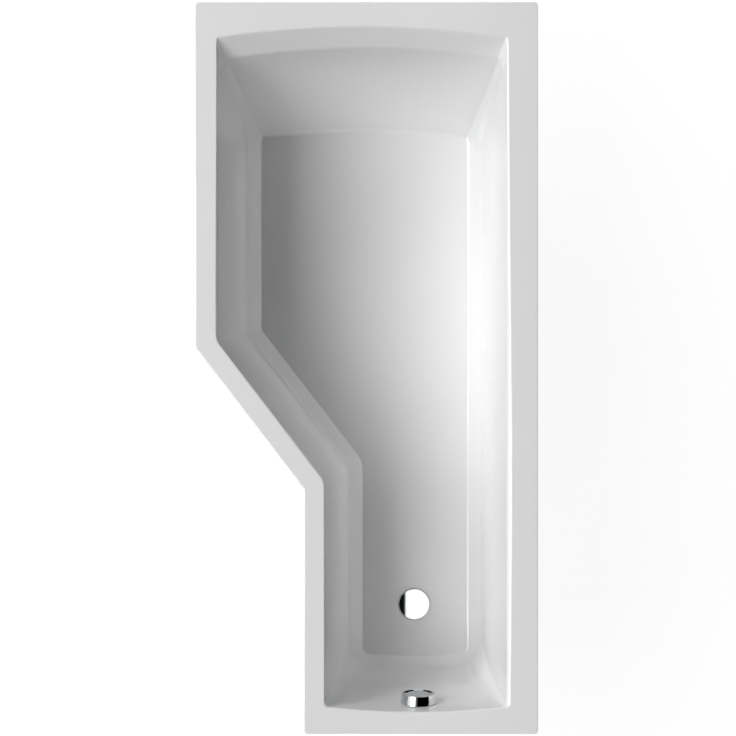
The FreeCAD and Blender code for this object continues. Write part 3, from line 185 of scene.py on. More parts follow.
class BathSizes(PropertyGroup):
    """Sizes of the acrylic shell."""

    bath_length: length("Length", cad_high.y - cad_low.y, "Rim, from the foot end to the head end")
    bath_width: length("Width", cad_high.x - cad_low.x, "Rim, across the head end")
    rim_height: length("Rim height", cad_high.z, "Top of the rim above the floor of the room")
    narrow_width: length("Narrow width", 0.512, "Rim, across the foot end")
    wide_length: length("Wide length", 0.755, "Left side of the rim, along the head end")
    narrow_length: length("Narrow length", 0.535, "Left side of the rim, along the foot end")
    rim_lip: length("Lip", 0.038, "Height of the rim's turned-down lip")
    rim_corner: length("Rim corner", 0.008, "Radius of the rim's four square corners")
    rim_bend: length("Rim bend", 0.012, "Radius of the rim's two bends at the slant")
    rim_left: length("Left rim", 0.047, "Width of the rim along the left side")
    rim_right: length("Right rim", 0.068, "Width of the rim along the long straight side")
    rim_narrow: length("Narrow rim", 0.045, "Width of the rim along the narrow part")
    rim_slant: length("Slanted rim", 0.0465, "Width of the rim along the slant")
    rim_head: length("Head rim", 0.0535, "Width of the rim at the middle of the head end")
    rim_foot: length("Foot rim", 0.048, "Width of the rim at the middle of the foot end")
    mouth_left: length("Left mouth edge", 0.0035, "Rounding where the rim turns down, along the left side")
    mouth_right: length("Right mouth edge", 0.014, "Rounding where the rim turns down, along the right side")
    mouth_ends: length("End mouth edge", 0.007, "Rounding where the rim turns down, at the head and the foot")
    edge_round: length("Rim edge", 0.003, "Rounding of the rim's outer edge")
    lip_edge: length("Lip edge", 0.0008, "Rounding of the lip's lower edges")
    under_round: length("Under the rim", 0.002, "Rounding of the sheet's corners under the rim")
    basin_depth: length("Depth", 0.42, "Floor of the basin below the rim, at the waste")
    floor_fall: length("Fall", 0.011, "Fall of the floor from the backrest to the waste")
    head_arc_radius: length("Head arc", 2.038, "Radius of the arched head wall, at the rim")
    foot_arc_radius: length("Foot arc", 1.64, "Radius of the arched foot wall, at the rim")
    lean_left: length("Left lean", 0.0425, "How far the left wall comes in")
    lean_right: length("Right lean", 0.031, "How far the right wall comes in")
    lean_narrow: length("Narrow lean", 0.05, "How far the wall of the narrow part comes in")
    lean_slant: length("Slant lean", 0.0465, "How far the slanted wall comes in")
    lean_foot: length("Foot lean", 0.024615, "How far the foot wall comes in")
    cove_rise: length("Cove height", 0.02, "Height of the sloping strip along the floor")
    cove_run: length("Cove width", 0.032, "Width of the sloping strip along the floor")
    cove_round: length("Cove edge", 0.05, "Rounding between a side wall and the sloping strip")
    foot_swell: length("Foot swell", 0.010, "How far the foot wall swells in above the sloping strip")
    foot_swell_rise: length("Foot swell height", 0.15, "Height of the swell above the sloping strip")
    crease_round: length("Floor edge", 0.004, "Rounding between the sloping strip and the floor")
    crease_right: length("Right floor edge", 0.008, "Rounding between the strip and the floor on the right")
    floor_border: length("Floor border", 0.045, "Width of the floor's even border, inside its edge")
    back_round: length("Backrest foot", 0.045, "Rounding between the backrest and the floor")
    bevel_drop: length("Bevel height", 0.048, "Height of the bevel above the backrest")
    bevel_run: length("Bevel width", 0.04, "Width of the bevel above the backrest")
    bevel_round: length("Bevel edge", 0.03, "Rounding between the bevel and the backrest")
    back_run: length("Backrest", 0.134, "Width of the hollow backrest")
    back_radius: length("Backrest radius", 1.9, "Radius of the hollow backrest")
    corner_rim: length("Corner at rim", 0.014, "Foot corner radius of the basin at the rim")
    corner_low: length("Low corner", 0.07, "Foot corner radius of the basin above the strip")
    corner_floor: length("Floor corner", 0.018, "Foot corner radius of the floor")
    facet_rim: length("Facet at rim", 0.003, "Width of the corner facet beside the backrest, at the rim")
    facet_bevel: length("Upper facet", 0.013, "Width of the corner facet below the bevel")
    facet_low: length("Low facet", 0.03, "Width of the corner facet above the strip")
    turn_rim: length("Turn at rim", 0.016, "Length of the side wall's soft turn to the facet, at the rim")
    turn_bevel: length("Upper turn", 0.024, "Length of the soft turn below the bevel")
    turn_low: length("Low turn", 0.062, "Length of the soft turn above the strip")
    bend_wide_rim: length("Wide bend at rim", 0.045, "Radius of the wide bend at the rim")
    bend_wide_floor: length("Wide bend at floor", 0.02, "Radius of the wide bend at the floor")
    bend_narrow_rim: length("Narrow bend at rim", 0.028, "Radius of the narrow bend at the rim")
    bend_narrow_floor: length("Narrow bend at floor", 0.06, "Radius of the narrow bend at the floor")
    sheet_thick: length("Sheet", 0.005, "Thickness of the acrylic sheet")
    bond_gap: length("Bond", 0.0003, "Gap between the sheet and its backing")
    backing_thick: length("Backing", 0.0033, "Thickness of the glass-fibre backing")
    backing_wave: length("Backing wave", 0.0012, "How much the hand-laid backing varies in thickness")
    backing_trim: length("Backing trim", 0.004, "How much the backing's upper edge wanders")
    waste_side: length("Waste side", 0.115, "Middle of the waste, to the right of the middle of the bath")
    waste_from_foot: length("Waste place", 0.23, "Middle of the waste, from the foot end")
    recess_depth: length("Recess depth", 0.005, "Depth of the round recess of the waste")
    recess_radius: length("Recess radius", 0.045, "Radius of the recess at the floor")
    recess_edge: length("Recess edge", 0.0008, "Rounding at the bottom of the recess")
    seat_radius: length("Seat radius", 0.0385, "Radius of the recess at the plug's edge")
    seat_step: length("Seat step", 0.0025, "How much narrower the recess is below the plug's edge")
    seat_round: length("Seat round", 0.002, "Rounding of the recess at the plug's edge")
    ring_rise: length("Ring rise", 0.001, "How far the ring round the plug stands above the floor")
    ring_lap: length("Ring lap", 0.001, "How far the ring reaches past the recess")
    ring_round: length("Ring round", 0.003, "Rounding between the ring and the floor")
    ring_border: length("Ring border", 0.004, "Width of the floor's even border round the recess")
    boss_edge: length("Boss edge", 0.001, "Rounding of the sheet's boss under the recess")
    drain_edge: length("Drain edge", 0.0006, "Rounding of the edges of the drain hole")
    drain_radius: length("Drain hole", 0.026, "Radius of the hole under the waste")
    drain_clear: length("Drain opening", 0.055, "Radius of the backing's opening round the waste")
    overflow_drop: length("Overflow place", 0.08, "Middle of the overflow below the rim")
    overflow_radius: length("Overflow hole", 0.026, "Radius of the hole in the foot wall")
    overflow_clear: length("Overflow opening", 0.05, "Radius of the backing's opening round the overflow")


class FittingSizes(PropertyGroup):
    """Sizes of the knob, the legs and the nuts."""

    knob_radius: length("Knob", 0.04, "Radius of the overflow knob")
    knob_gap: length("Knob gap", 0.0015, "Gap between the foot wall and the knob")
    knob_depth: length("Knob depth", 0.0215, "Depth of the knob's rim")
    knob_wall: length("Knob wall", 0.0025, "Thickness of the knob's rim")
    knob_dish: length("Knob dish", 0.001, "Depth of the dished front")
    knob_dish_slope: length("Dish slope", 0.008, "Width of the sloping edge of the dished front")
    knob_face: length("Knob face", 0.003, "Thickness of the knob behind its dish")
    knob_taper: length("Knob taper", 0.0032, "How much narrower the knob is at its front")
    knob_edge: length("Knob edge", 0.0009, "Rounding of the knob's edges")
    knob_boss: length("Knob boss", 0.008, "Radius of the boss on the knob's back")
    knob_boss_height: length("Boss height", 0.011, "Height of the boss on the knob's back")
    knob_bore: length("Knob bore", 0.004, "Radius of the bore for the spindle")
    plug_edge: length("Plug edge", 0.0009, "Rounding of the plug cover's edge")
    thread_pitch: length("Thread pitch", 0.002, "Pitch of the legs' screw threads")
    thread_depth: length("Thread depth", 0.0009, "Depth of the legs' screw threads")
    thread_end: length("Thread end", 0.0012, "Bevel at the ends of a screw leg")
    spindle_bore: length("Nut bore", 0.00608, "Radius of the bore of a leg nut")
    pad_rim: length("Pad rim", 0.005, "Height of a foot pad's edge")
    pad_edge: length("Pad edge", 0.0012, "Rounding of a foot pad's sole")
    pad_rim_round: length("Pad rim round", 0.002, "Rounding of a foot pad's edge")
    pad_flare: length("Pad flare", 0.006, "How far a foot pad's neck flares, and its rounding there")
    pad_flare_height: length("Pad flare height", 0.011, "Height of the flare above the sole")
    pad_top: length("Pad top", 0.0015, "Rounding at the top of a foot pad")
    pad_neck: length("Pad neck", 0.014, "Radius of a foot pad's neck")
    pad_socket: length("Pad socket", 0.0062, "Radius of a foot pad's socket")
    pad_socket_depth: length("Socket depth", 0.014, "Depth of a foot pad's socket")
    socket_edge: length("Socket edge", 0.0008, "Rounding at the mouth of a foot pad's socket")
    socket_round: length("Socket round", 0.0005, "Rounding at the bottom of a foot pad's socket")
    bar_wall: length("Bar wall", 0.0025, "Thickness of a crossbar's steel")
    bar_bend: length("Bar bend", 0.004, "Outer radius of a crossbar's bends")
    leg_nut_corner: length("Leg nut", 0.011, "Radius of a leg nut over its corners")
    weld_nut_thick: length("Weld nut", 0.01, "Thickness of a weld nut")
    lock_nut_thick: length("Lock nut", 0.006, "Thickness of a lock nut")
    nut_edge: length("Nut edge", 0.0008, "Rounding of the slip nuts' edges")
    rib_depth: length("Rib depth", 0.0014, "Depth of the grooves between a slip nut's ribs")
    pipe_nut_wall: length("Pipe nut wall", 0.003, "Thickness of a pipe nut's skirt")
    pipe_nut_skirt: length("Pipe nut skirt", 0.01, "Length of a pipe nut's skirt")
    pipe_seal_thick: length("Pipe seal", 0.003, "Thickness of a pipe seal")
    pipe_nut_bore: length("Pipe nut bore", 0.01315, "Radius of a pipe nut's bore")
    trap_nut_lip: length("Trap nut lip", 0.003, "Thickness of a trap nut's lip")
    trap_nut_skirt: length("Trap nut skirt", 0.014, "Length of a trap nut's skirt")
    trap_nut_bore: length("Trap nut bore", 0.02015, "Radius of a trap nut's bore")
    collar_bore: length("Collar bore", 0.02315, "Radius of a trap nut's hollow round the collar")
    cap_wall: length("Cap wall", 0.004, "Thickness of the cleaning cap")


class BathFinishes(PropertyGroup):
    """Colours of the materials."""

    acrylic: colour("Acrylic", (0.86, 0.861, 0.864), "Gloss white acrylic")
    resin: colour("Resin", (0.60, 0.565, 0.45), "Polyester resin between the glass strands")
    strand: colour("Strands", (0.76, 0.74, 0.66), "Chopped glass strands")
    chip_dark: colour("Dark chips", (0.27, 0.17, 0.085), "Darker chips of the base board")
    chip_light: colour("Light chips", (0.60, 0.44, 0.27), "Lighter chips of the base board")
    zinc_dark: colour("Dark zinc", (0.42, 0.44, 0.46), "Darker spangle of galvanised steel")
    zinc_light: colour("Light zinc", (0.66, 0.67, 0.68), "Lighter spangle of galvanised steel")
    chrome: colour("Chrome", (0.72, 0.735, 0.75), "Chrome plating")
    grey_plastic: colour("Grey plastic", (0.23, 0.24, 0.25), "Moulded bodies of the waste and overflow")
    white_plastic: colour("White plastic", (0.70, 0.70, 0.68), "Pipes and trap")
    black_plastic: colour("Black plastic", (0.022, 0.022, 0.024), "Foot pads, clips and cable sheath")
    rubber: colour("Rubber", (0.03, 0.03, 0.031), "Seals and gaskets")
    brass: colour("Brass", (0.70, 0.50, 0.22), "Spindles and small machined pieces")


class StudioLook(PropertyGroup):
    """Camera, light, cards and floor."""

    camera_x: length("Camera side", 0.0031, "Camera, across the bath")
    camera_height: length("Camera height", 4.6, "Camera above the floor of the room")
    lens: FloatProperty(name="Lens", description="Focal length", default=89.55, unit="CAMERA")
    lamp_distance: length("Lamp distance", 20.0, "Soft lamps, from the middle of the rim")
    lamp_width: length("Lamp width", 16.5, "Size of the soft lamps, along the bath")
    key_power: lamp_power("Key light", 2850.0, "Power of the high soft lamp on the left")
    key_elevation: angle_value("Key height", 53.5, "Angle of the high soft lamp above the rim")
    key_size: length("Key size", 12.5, "Size of the high soft lamp, up and down")
    left_power: lamp_power("Left light", 1840.0, "Power of the low soft lamp on the left")
    left_turn: angle_value("Left turn", 37.0, "How far the low soft lamp on the left stands towards the head")
    foot_power: lamp_power("Foot light", 670.0, "Power of the low soft lamp beyond the foot")
    foot_turn: angle_value(
        "Foot turn", 10.0, "How far the low soft lamp beyond the foot stands towards the left")
    low_elevation: angle_value("Low height", 34.0, "Angle of the low soft lamps above the rim")
    low_size: length("Low size", 5.0, "Size of the low soft lamps, up and down")
    skirt_power: lamp_power("Skirt light", 230.0, "Power of the lamp that stands below the rim on the right")
    skirt_distance: length("Skirt distance", 8.0, "Skirt lamp, from the middle of the bath")
    skirt_width: length("Skirt width", 6.0, "Size of the skirt lamp, along the bath")
    skirt_height: length("Skirt height", 0.48, "Size of the skirt lamp, up and down")
    skirt_turn: angle_value("Skirt turn", 15.0, "How far the skirt lamp stands towards the head")
    room_light: brightness("Room light", 0.02, "Even light from all round")
    room_colour: colour("Room colour", (0.97, 0.985, 1.0), "Colour of the even light")
    card_distance: length("Card distance", 5.4, "Grey and dark card, from the middle line of the floor")
    card_reach: lengths("Card ends", (-5.0, 2.5), "Ends of the cards, along the bath")
    card_turns: angle_values(
        "Card turns", (-19.0, -6.0, 70.0),
        "Left end, border and right end of the grey and the dark card, from straight up")
    grey_glow: brightness("Grey card", 0.18, "Grey of the card on the left")
    window_turns: angle_values(
        "Window turns", (2.0, 4.6), "Left and right end of the dark card's window, from straight up")
    window_reach: lengths("Window ends", (-1.42, -1.07), "Ends of the dark card's window, along the bath")
    window_glow: brightness("Window glow", 1.4, "White of the card behind the window")
    window_gap: length("Window gap", 0.27, "White card, behind the window")
    floor_glow: brightness("Floor glow", 0.92, "White that the floor shows by itself")
    floor_white: brightness("Floor white", 1.05, "White that the floor shows in full light")
    floor_colour: colour("Floor", (0.8, 0.8, 0.8), "Colour of the floor by which it lights the bath")
    floor_size: length("Floor size", 60.0, "Length of the floor's sides")
    floor_gap: length("Floor gap", 0.0005, "Floor below the soles of the feet")


# Outlines of the rim and the basin

def around(centre, start, end, steps):
    """Points on the short arc round a centre, both ends included."""
    first, last = start - centre, end - centre
    turn = math.atan2(first.x * last.y - first.y * last.x, first.x * last.x + first.y * last.y)
    return [centre + Matrix.Rotation(turn * i / steps, 3, "Z") @ first for i in range(steps + 1)]


def round_corner(corner, before, after, radius, steps):
    """Points of the arc that rounds a corner of a line, kept within half of each side."""
    back, ahead = before - corner, after - corner
    half = back.angle(ahead) / 2
    reach = min(radius / math.tan(half), back.length * SIDE_SHARE, ahead.length * SIDE_SHARE)
    start, end = corner + back.normalized() * reach, corner + ahead.normalized() * reach
    if math.pi / 2 - half < STRAIGHT_TURN:
        return [start.lerp(end, i / steps) for i in range(steps + 1)]
    centre = corner + (back.normalized() + ahead.normalized()).normalized() * (reach / math.cos(half))
    first, last = start - centre, end - centre
    whole = first.angle(last)
    points = []
    for i in range(steps + 1):
        swung = first * math.sin(whole * (1 - i / steps)) + last * math.sin(whole * i / steps)
        points.append(centre + swung / math.sin(whole))
    return points


def between(start, end, share):
    """A value part of the way from a start to an end, and never past them."""
    return start + (end - start) * min(max(share, 0.0), 1.0)


def wall_drop(s):
    """Where the walls end and the sloping strip begins, below the rim."""
    return s.basin_depth - s.cove_rise


def wall_drops(s, steps):
    """Even drops down the walls, from just below the bevel to the sloping strip."""
    return [s.bevel_drop + (wall_drop(s) - s.bevel_drop) * i / steps for i in range(1, steps + 1)]


def head_run(s, drop):
    """How far the head wall has come in from the rim: a bevel, then a hollow backrest."""
    if drop <= s.bevel_drop:
        return s.bevel_run * drop / s.bevel_drop
    height = s.basin_depth - s.bevel_drop
    chord = math.hypot(height, s.back_run)
    reach = math.sqrt(s.back_radius ** 2 - chord ** 2 / 4) / chord
    middle_drop = s.bevel_drop + height / 2 - s.back_run * reach
    middle_run = s.bevel_run + s.back_run / 2 + height * reach
    return middle_run - math.sqrt(s.back_radius ** 2 - (drop - middle_drop) ** 2)


def down_corner(s, drop, rim, bevel, low, floor):
    """A size of a corner of the basin, which changes at the bevel, above the strip and at the floor."""
    if drop <= s.bevel_drop:
        return between(rim, bevel, drop / s.bevel_drop)
    if drop <= wall_drop(s):
        return between(bevel, low, ((drop - s.bevel_drop) / (wall_drop(s) - s.bevel_drop)) ** 2)
    return between(low, floor, (drop - wall_drop(s)) / s.cove_rise)


def slant_frame(s):
    """Start, direction and inward normal of the rim's slanted outer edge."""
    start = Vector((-s.bath_width / 2, s.bath_length / 2 - s.wide_length, 0))
    end = Vector((s.bath_width / 2 - s.narrow_width, s.narrow_length - s.bath_length / 2, 0))
    along = (end - start).normalized()
    return start, along, Vector((-along.y, along.x, 0))


def meet_slant(s, x, inset):
    """Where the slanted edge, moved inwards, crosses a line of constant X."""
    start, along, inward = slant_frame(s)
    base = start + inward * inset
    return base + along * ((x - base.x) / along.x)


def bend_bow(corner, back, ahead, radius):
    """The arc that rounds a corner between two straight edges."""
    half = back.angle(ahead) / 2
    reach = radius / math.tan(half)
    centre = corner + (back + ahead).normalized() * (radius / math.sin(half))
    return around(centre, corner + back * reach, corner + ahead * reach, BOW_STEPS)


def arch_bow(x, side, arch_middle, arch_radius, radius):
    """The arc between a wall at constant X and the arched foot wall."""
    centre_x = x - side * radius
    rise = math.sqrt((arch_radius - radius) ** 2 - (centre_x - arch_middle.x) ** 2)
    centre = Vector((centre_x, arch_middle.y - rise, 0))
    on_arch = arch_middle + (centre - arch_middle).normalized() * arch_radius
    return around(centre, Vector((x, centre.y, 0)), on_arch, BOW_STEPS)


def facet_bow(x, side, arch_middle, arch_radius, facet, turn, crisp):
    """The soft turn from a wall at constant X to a facet, and the facet's crisp edge at the head wall."""
    def on_arch(at):
        return Vector((at, arch_middle.y + math.sqrt(arch_radius ** 2 - (at - arch_middle.x) ** 2), 0))
    edge, beyond = on_arch(x - side * facet), on_arch(x - side * (facet + CRISP_REACH * crisp))
    start, bend = Vector((x, edge.y - turn, 0)), Vector((x, edge.y - turn * SOFT_BEND_SHARE, 0))
    steps = BOW_STEPS - CRISP_STEPS
    curve = []
    for i in range(steps):
        share = SOFT_END_SHARE * i / (steps - 1)
        curve.append(start.lerp(bend, share).lerp(bend.lerp(edge, share), share))
    return curve + round_corner(edge, curve[-1], beyond, crisp, CRISP_STEPS)


def joined(bows, arch_middles):
    """Points all round an outline of six arcs, with straight or arched runs between them."""
    points = []
    for i, bow in enumerate(bows):
        points += bow
        following = bows[(i + 1) % len(bows)][0]
        steps = RUN_STEPS[i]
        if i in arch_middles:
            points += around(arch_middles[i], bow[-1], following, steps)[1:-1]
        else:
            points += [bow[-1].lerp(following, k / steps) for k in range(1, steps)]
    return points


def by_run(values, middles=None):
    """A value for each point of an outline: one for each run, blended on the arcs and to a run's middle."""
    spread = []
    for i, value in enumerate(values):
        middle = (middles or {}).get(i, value)
        steps = RUN_STEPS[i]
        spread += [between(values[i - 1], value, k / BOW_STEPS) for k in range(BOW_STEPS + 1)]
        spread += [between(value, middle, math.sin(math.pi * k / steps)) for k in range(1, steps)]
    return spread


def basin_outline(s, drop, grow=0.0):
    """Points round the basin at a drop below the rim, grown outwards, at z = 0."""
    half_width, half_length = s.bath_width / 2, s.bath_length / 2
    share = min(drop / wall_drop(s), 1.0)
    cove = max(drop - wall_drop(s), 0.0) / s.cove_rise * s.cove_run
    rim_left, rim_right = s.rim_left - half_width, half_width - s.rim_right
    rim_narrow = half_width - s.narrow_width + s.rim_narrow
    left = rim_left + s.lean_left * share + cove - grow
    right = rim_right - s.lean_right * share - cove + grow
    narrow = rim_narrow + s.lean_narrow * share + cove - grow
    inset = s.rim_slant + s.lean_slant * share + cove - grow
    head_middle = Vector(((rim_left + rim_right) / 2, half_length - s.rim_head - s.head_arc_radius, 0))
    foot_middle = Vector(((rim_narrow + rim_right) / 2, s.rim_foot + s.foot_arc_radius - half_length, 0))
    head_radius = s.head_arc_radius - head_run(s, drop) + grow
    swell = s.foot_swell * between(0.0, 1.0, 1 + (drop - wall_drop(s)) / s.foot_swell_rise) ** 2
    foot_run = s.lean_foot * share + swell + cove * (1 - s.foot_swell / s.cove_run)
    foot_radius = s.foot_arc_radius - foot_run + grow
    corner = between(between(s.corner_rim, s.corner_low, share), s.corner_floor, cove / s.cove_run)
    corner = max(corner + grow, s.crease_round)
    facet = down_corner(s, drop, s.facet_rim, s.facet_bevel, s.facet_low, s.facet_rim)
    turn = down_corner(s, drop, s.turn_rim, s.turn_bevel, s.turn_low, s.turn_rim)
    depth_share = drop / s.basin_depth
    wide_bend = max(between(s.bend_wide_rim, s.bend_wide_floor, depth_share) + grow, s.crease_round)
    narrow_bend = between(s.bend_narrow_rim, s.bend_narrow_floor, depth_share) - grow
    along, up = slant_frame(s)[1], Vector((0, 1, 0))
    bows = [
        bend_bow(meet_slant(s, left, inset), up, along, wide_bend),
        bend_bow(meet_slant(s, narrow, inset), -along, -up, narrow_bend),
        arch_bow(narrow, -1, foot_middle, foot_radius, corner),
        arch_bow(right, 1, foot_middle, foot_radius, corner)[::-1],
        facet_bow(right, 1, head_middle, head_radius, facet, turn, s.crease_round),
        facet_bow(left, -1, head_middle, head_radius, facet, turn, s.crease_round)[::-1],
    ]
    return joined(bows, {FOOT_RUN: foot_middle, HEAD_RUN: head_middle})


def rim_outline(s, inset, level):
    """Points round the rim's outer edge, moved inwards, at a level."""
    left, right = inset - s.bath_width / 2, s.bath_width / 2 - inset
    narrow = s.bath_width / 2 - s.narrow_width + inset
    head, foot = s.bath_length / 2 - inset, inset - s.bath_length / 2
    square = s.rim_corner - inset
    corners = [
        (meet_slant(s, left, inset), s.rim_bend - inset),
        (meet_slant(s, narrow, inset), s.rim_bend + inset),
        (Vector((narrow, foot, 0)), square),
        (Vector((right, foot, 0)), square),
        (Vector((right, head, 0)), square),
        (Vector((left, head, 0)), square),
    ]
    bows = []
    for i, (corner, radius) in enumerate(corners):
        back = (corners[i - 1][0] - corner).normalized()
        ahead = (corners[(i + 1) % len(corners)][0] - corner).normalized()
        bows.append(bend_bow(corner, back, ahead, radius))
    return [Vector((p.x, p.y, level)) for p in joined(bows, {})]


def waste_place(s):
    """Middle of the waste in plan."""
    return Vector((s.waste_side, s.waste_from_foot - s.bath_length / 2, 0))


def head_crease(s):
    """Where the backrest meets the floor, along the bath."""
    return s.bath_length / 2 - s.rim_head - s.bevel_run - s.back_run


def floor_rise(s, y):
    """How far the floor has risen from the waste towards the head end."""
    waste_y = waste_place(s).y
    return s.floor_fall * (y - waste_y) / (head_crease(s) - waste_y)


def basin_ring(s, drop, grow=0.0, below=0.0):
    """The basin's outline at its height; the fall of the floor comes in gradually down the walls."""
    fall = between(0.0, 1.0, (drop - s.bevel_drop) / (wall_drop(s) - s.bevel_drop)) ** 2
    level = s.rim_height - drop - below
    return [Vector((p.x, p.y, level + fall * floor_rise(s, p.y))) for p in basin_outline(s, drop, grow)]


def overflow_frame(s):
    """Frame of the overflow: Z square to the foot wall into the basin, Y down the wall."""
    tilt = math.atan2(s.lean_foot, wall_drop(s))
    in_share = s.overflow_drop / wall_drop(s)
    y = s.rim_foot - s.bath_length / 2 + s.lean_foot * in_share
    turn = Matrix.Rotation(math.pi / 2 - tilt, 4, Vector((-1, 0, 0)))
    return Matrix.Translation((waste_place(s).x, y, s.rim_height - s.overflow_drop)) @ turn


# Mesh helpers

def rounded_rows(rings):
    """Rows of points through rings of points; a ring that has a rounding becomes a round edge."""
    rows = []
    for i, (points, rounding) in enumerate(rings):
        if rounding is None:
            rows.append(points)
            continue
        radii = rounding if isinstance(rounding, list) else [rounding] * len(points)
        fan = [round_corner(*column, EDGE_STEPS)
               for column in zip(points, rings[i - 1][0], rings[i + 1][0], radii)]
        rows += [list(row) for row in zip(*fan)]
    return rows


def circle(centre, radius, count, level=None):
    """Points round a vertical axis; level gives the height at a point."""
    points = []
    for i in range(count):
        angle = math.tau * i / count
        p = Vector((centre.x + radius * math.cos(angle), centre.y + radius * math.sin(angle), centre.z))
        points.append(Vector((p.x, p.y, level(p.y))) if level else p)
    return points


def floor_circle(s, radius, below):
    """A circle round the waste that follows the fall of the floor, at a depth below it."""
    floor = s.rim_height - s.basin_depth
    return circle(waste_place(s), radius, TURNED_SIDES, lambda y: floor - below + floor_rise(s, y))


def polar(radius, angle, height):
    """A point at a radius and an angle round the Z axis."""
    return Vector((radius * math.cos(angle), radius * math.sin(angle), height))


class Form:
    """A mesh in the making: rows of points with faces between them."""

    def __init__(self):
        self.mesh = bmesh.new()

    def row(self, points):
        return [self.mesh.verts.new(p) for p in points]

    def skin(self, rows, loop=False):
        """Faces between each row and the next, and from the last to the first in a loop."""
        made = [self.row(points) for points in rows]
        pairs = list(zip(made, made[1:]))
        if loop:
            pairs.append((made[-1], made[0]))
        for low, high in pairs:
            count = len(low)
            for i in range(count):
                k = (i + 1) % count
                self.mesh.faces.new((low[i], low[k], high[k], high[i]))
        return made

    def close(self, row):
        """One face across a row."""
        self.mesh.faces.new(row)

    def fill(self, outer, inner):
        """Flat faces between an outline and a hole in it."""
        edges = []
        for row in (outer, inner):
            for i, vert in enumerate(row):
                edges.append(self.mesh.edges.get((vert, row[(i + 1) % len(row)])))
        bmesh.ops.triangle_fill(self.mesh, use_beauty=True, edges=edges, normal=(0, 0, 1))

    def finish(self, name):
        bmesh.ops.remove_doubles(self.mesh, verts=self.mesh.verts, dist=SAME_PLACE)
        bmesh.ops.dissolve_degenerate(self.mesh, edges=self.mesh.edges, dist=NO_LENGTH)
        bmesh.ops.recalc_face_normals(self.mesh, faces=self.mesh.faces)
        made = bpy.data.meshes.new(name)
        self.mesh.to_mesh(made)
        self.mesh.free()
        made.shade_smooth()
        return made


def rounded_line(corners, closed):
    """Points of a line of (radius, height, rounding) corners, with its corners rounded."""
    spots = [Vector((radius, 0, height)) for radius, height, _ in corners]
    points = []
    for i, (_, _, rounding) in enumerate(corners):
        if rounding and (closed or 0 < i < len(corners) - 1):
            points += round_corner(spots[i], spots[i - 1], spots[(i + 1) % len(spots)], rounding, EDGE_STEPS)
        else:
            points.append(spots[i])
    return points


def turned_mesh(name, corners, place, closed, sides, shape=None):
    """A turned solid: a line of (radius, height, rounding) corners swept round the Z axis of a place."""
    rows = []
    for p in rounded_line(corners, closed):
        points = []
        for i in range(sides):
            angle = math.tau * i / sides
            radius = shape(p.x, angle) if shape else p.x
            points.append(place @ polar(radius, angle, p.z))
        rows.append(points)
    form = Form()
    form.skin(rows, loop=closed)
    return form.finish(name)


def ribbed_mesh(name, corners, place, closed, ribs, depth, least_radius):
    """A turned solid with grooves between ribs, round every part that is wider than a radius."""
    def shape(radius, angle):
        if radius < least_radius:
            return radius
        return radius - depth * ((1 - math.cos(ribs * angle)) / 2) ** 2
    return turned_mesh(name, corners, place, closed, ribs * SIDES_PER_RIB, shape)


def add_piece(name, mesh, slot, *nodes):
    """Link a mesh as the piece that stands for CAD nodes, on the body that they ride on."""
    piece = bpy.data.objects.new(name, mesh)
    bpy.context.scene.collection.objects.link(piece)
    mesh.materials.append(finish_of(slot))
    weigh = piece.modifiers.new("Even shading", "WEIGHTED_NORMAL")
    weigh.keep_sharp = True
    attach(piece, frame["nodes"][nodes[0]]["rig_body"])
    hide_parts(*nodes)
    return piece


def cut_round(mesh, place, radius, reach):
    """Cut a round hole through a mesh, along the Z axis of a place."""
    drill = Form()
    ends = [circle(Vector((0, 0, z)), radius, TURNED_SIDES) for z in (-reach, reach)]
    for row in drill.skin([[place @ p for p in points] for points in ends]):
        drill.close(row)
    drill_mesh = drill.finish("Drill")
    tool = bpy.data.objects.new("Drill", drill_mesh)
    piece = bpy.data.objects.new("Drilled", mesh)
    for thing in (tool, piece):
        bpy.context.scene.collection.objects.link(thing)
    hole = piece.modifiers.new("Hole", "BOOLEAN")
    hole.object, hole.operation, hole.solver = tool, "DIFFERENCE", "EXACT"
    depsgraph = bpy.context.evaluated_depsgraph_get()
    made = bpy.data.meshes.new_from_object(piece.evaluated_get(depsgraph))
    made.name = mesh.name
    for thing in (tool, piece):
        bpy.data.objects.remove(thing)
    bpy.data.meshes.remove(drill_mesh)
    return made


def lay_flat(mesh, name):
    """Give each face its places in metres on the upright or level plane that it lies nearest to."""
    places = mesh.uv_layers.new(name=name).uv
    for face in mesh.polygons:
        steep = [abs(share) for share in face.normal]
        across = steep.index(max(steep))
        first, second = [axis for axis in range(3) if axis != across]
        for corner in face.loop_indices:
            point = mesh.vertices[mesh.loops[corner].vertex_index].co
            places[corner].vector = (point[first], point[second])


def span(node):
    """Middle of a CAD node, its half width, and its lowest and highest level."""
    low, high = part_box(node)
    return (low + high) / 2, (high.x - low.x) / 2, low.z, high.z


# Materials

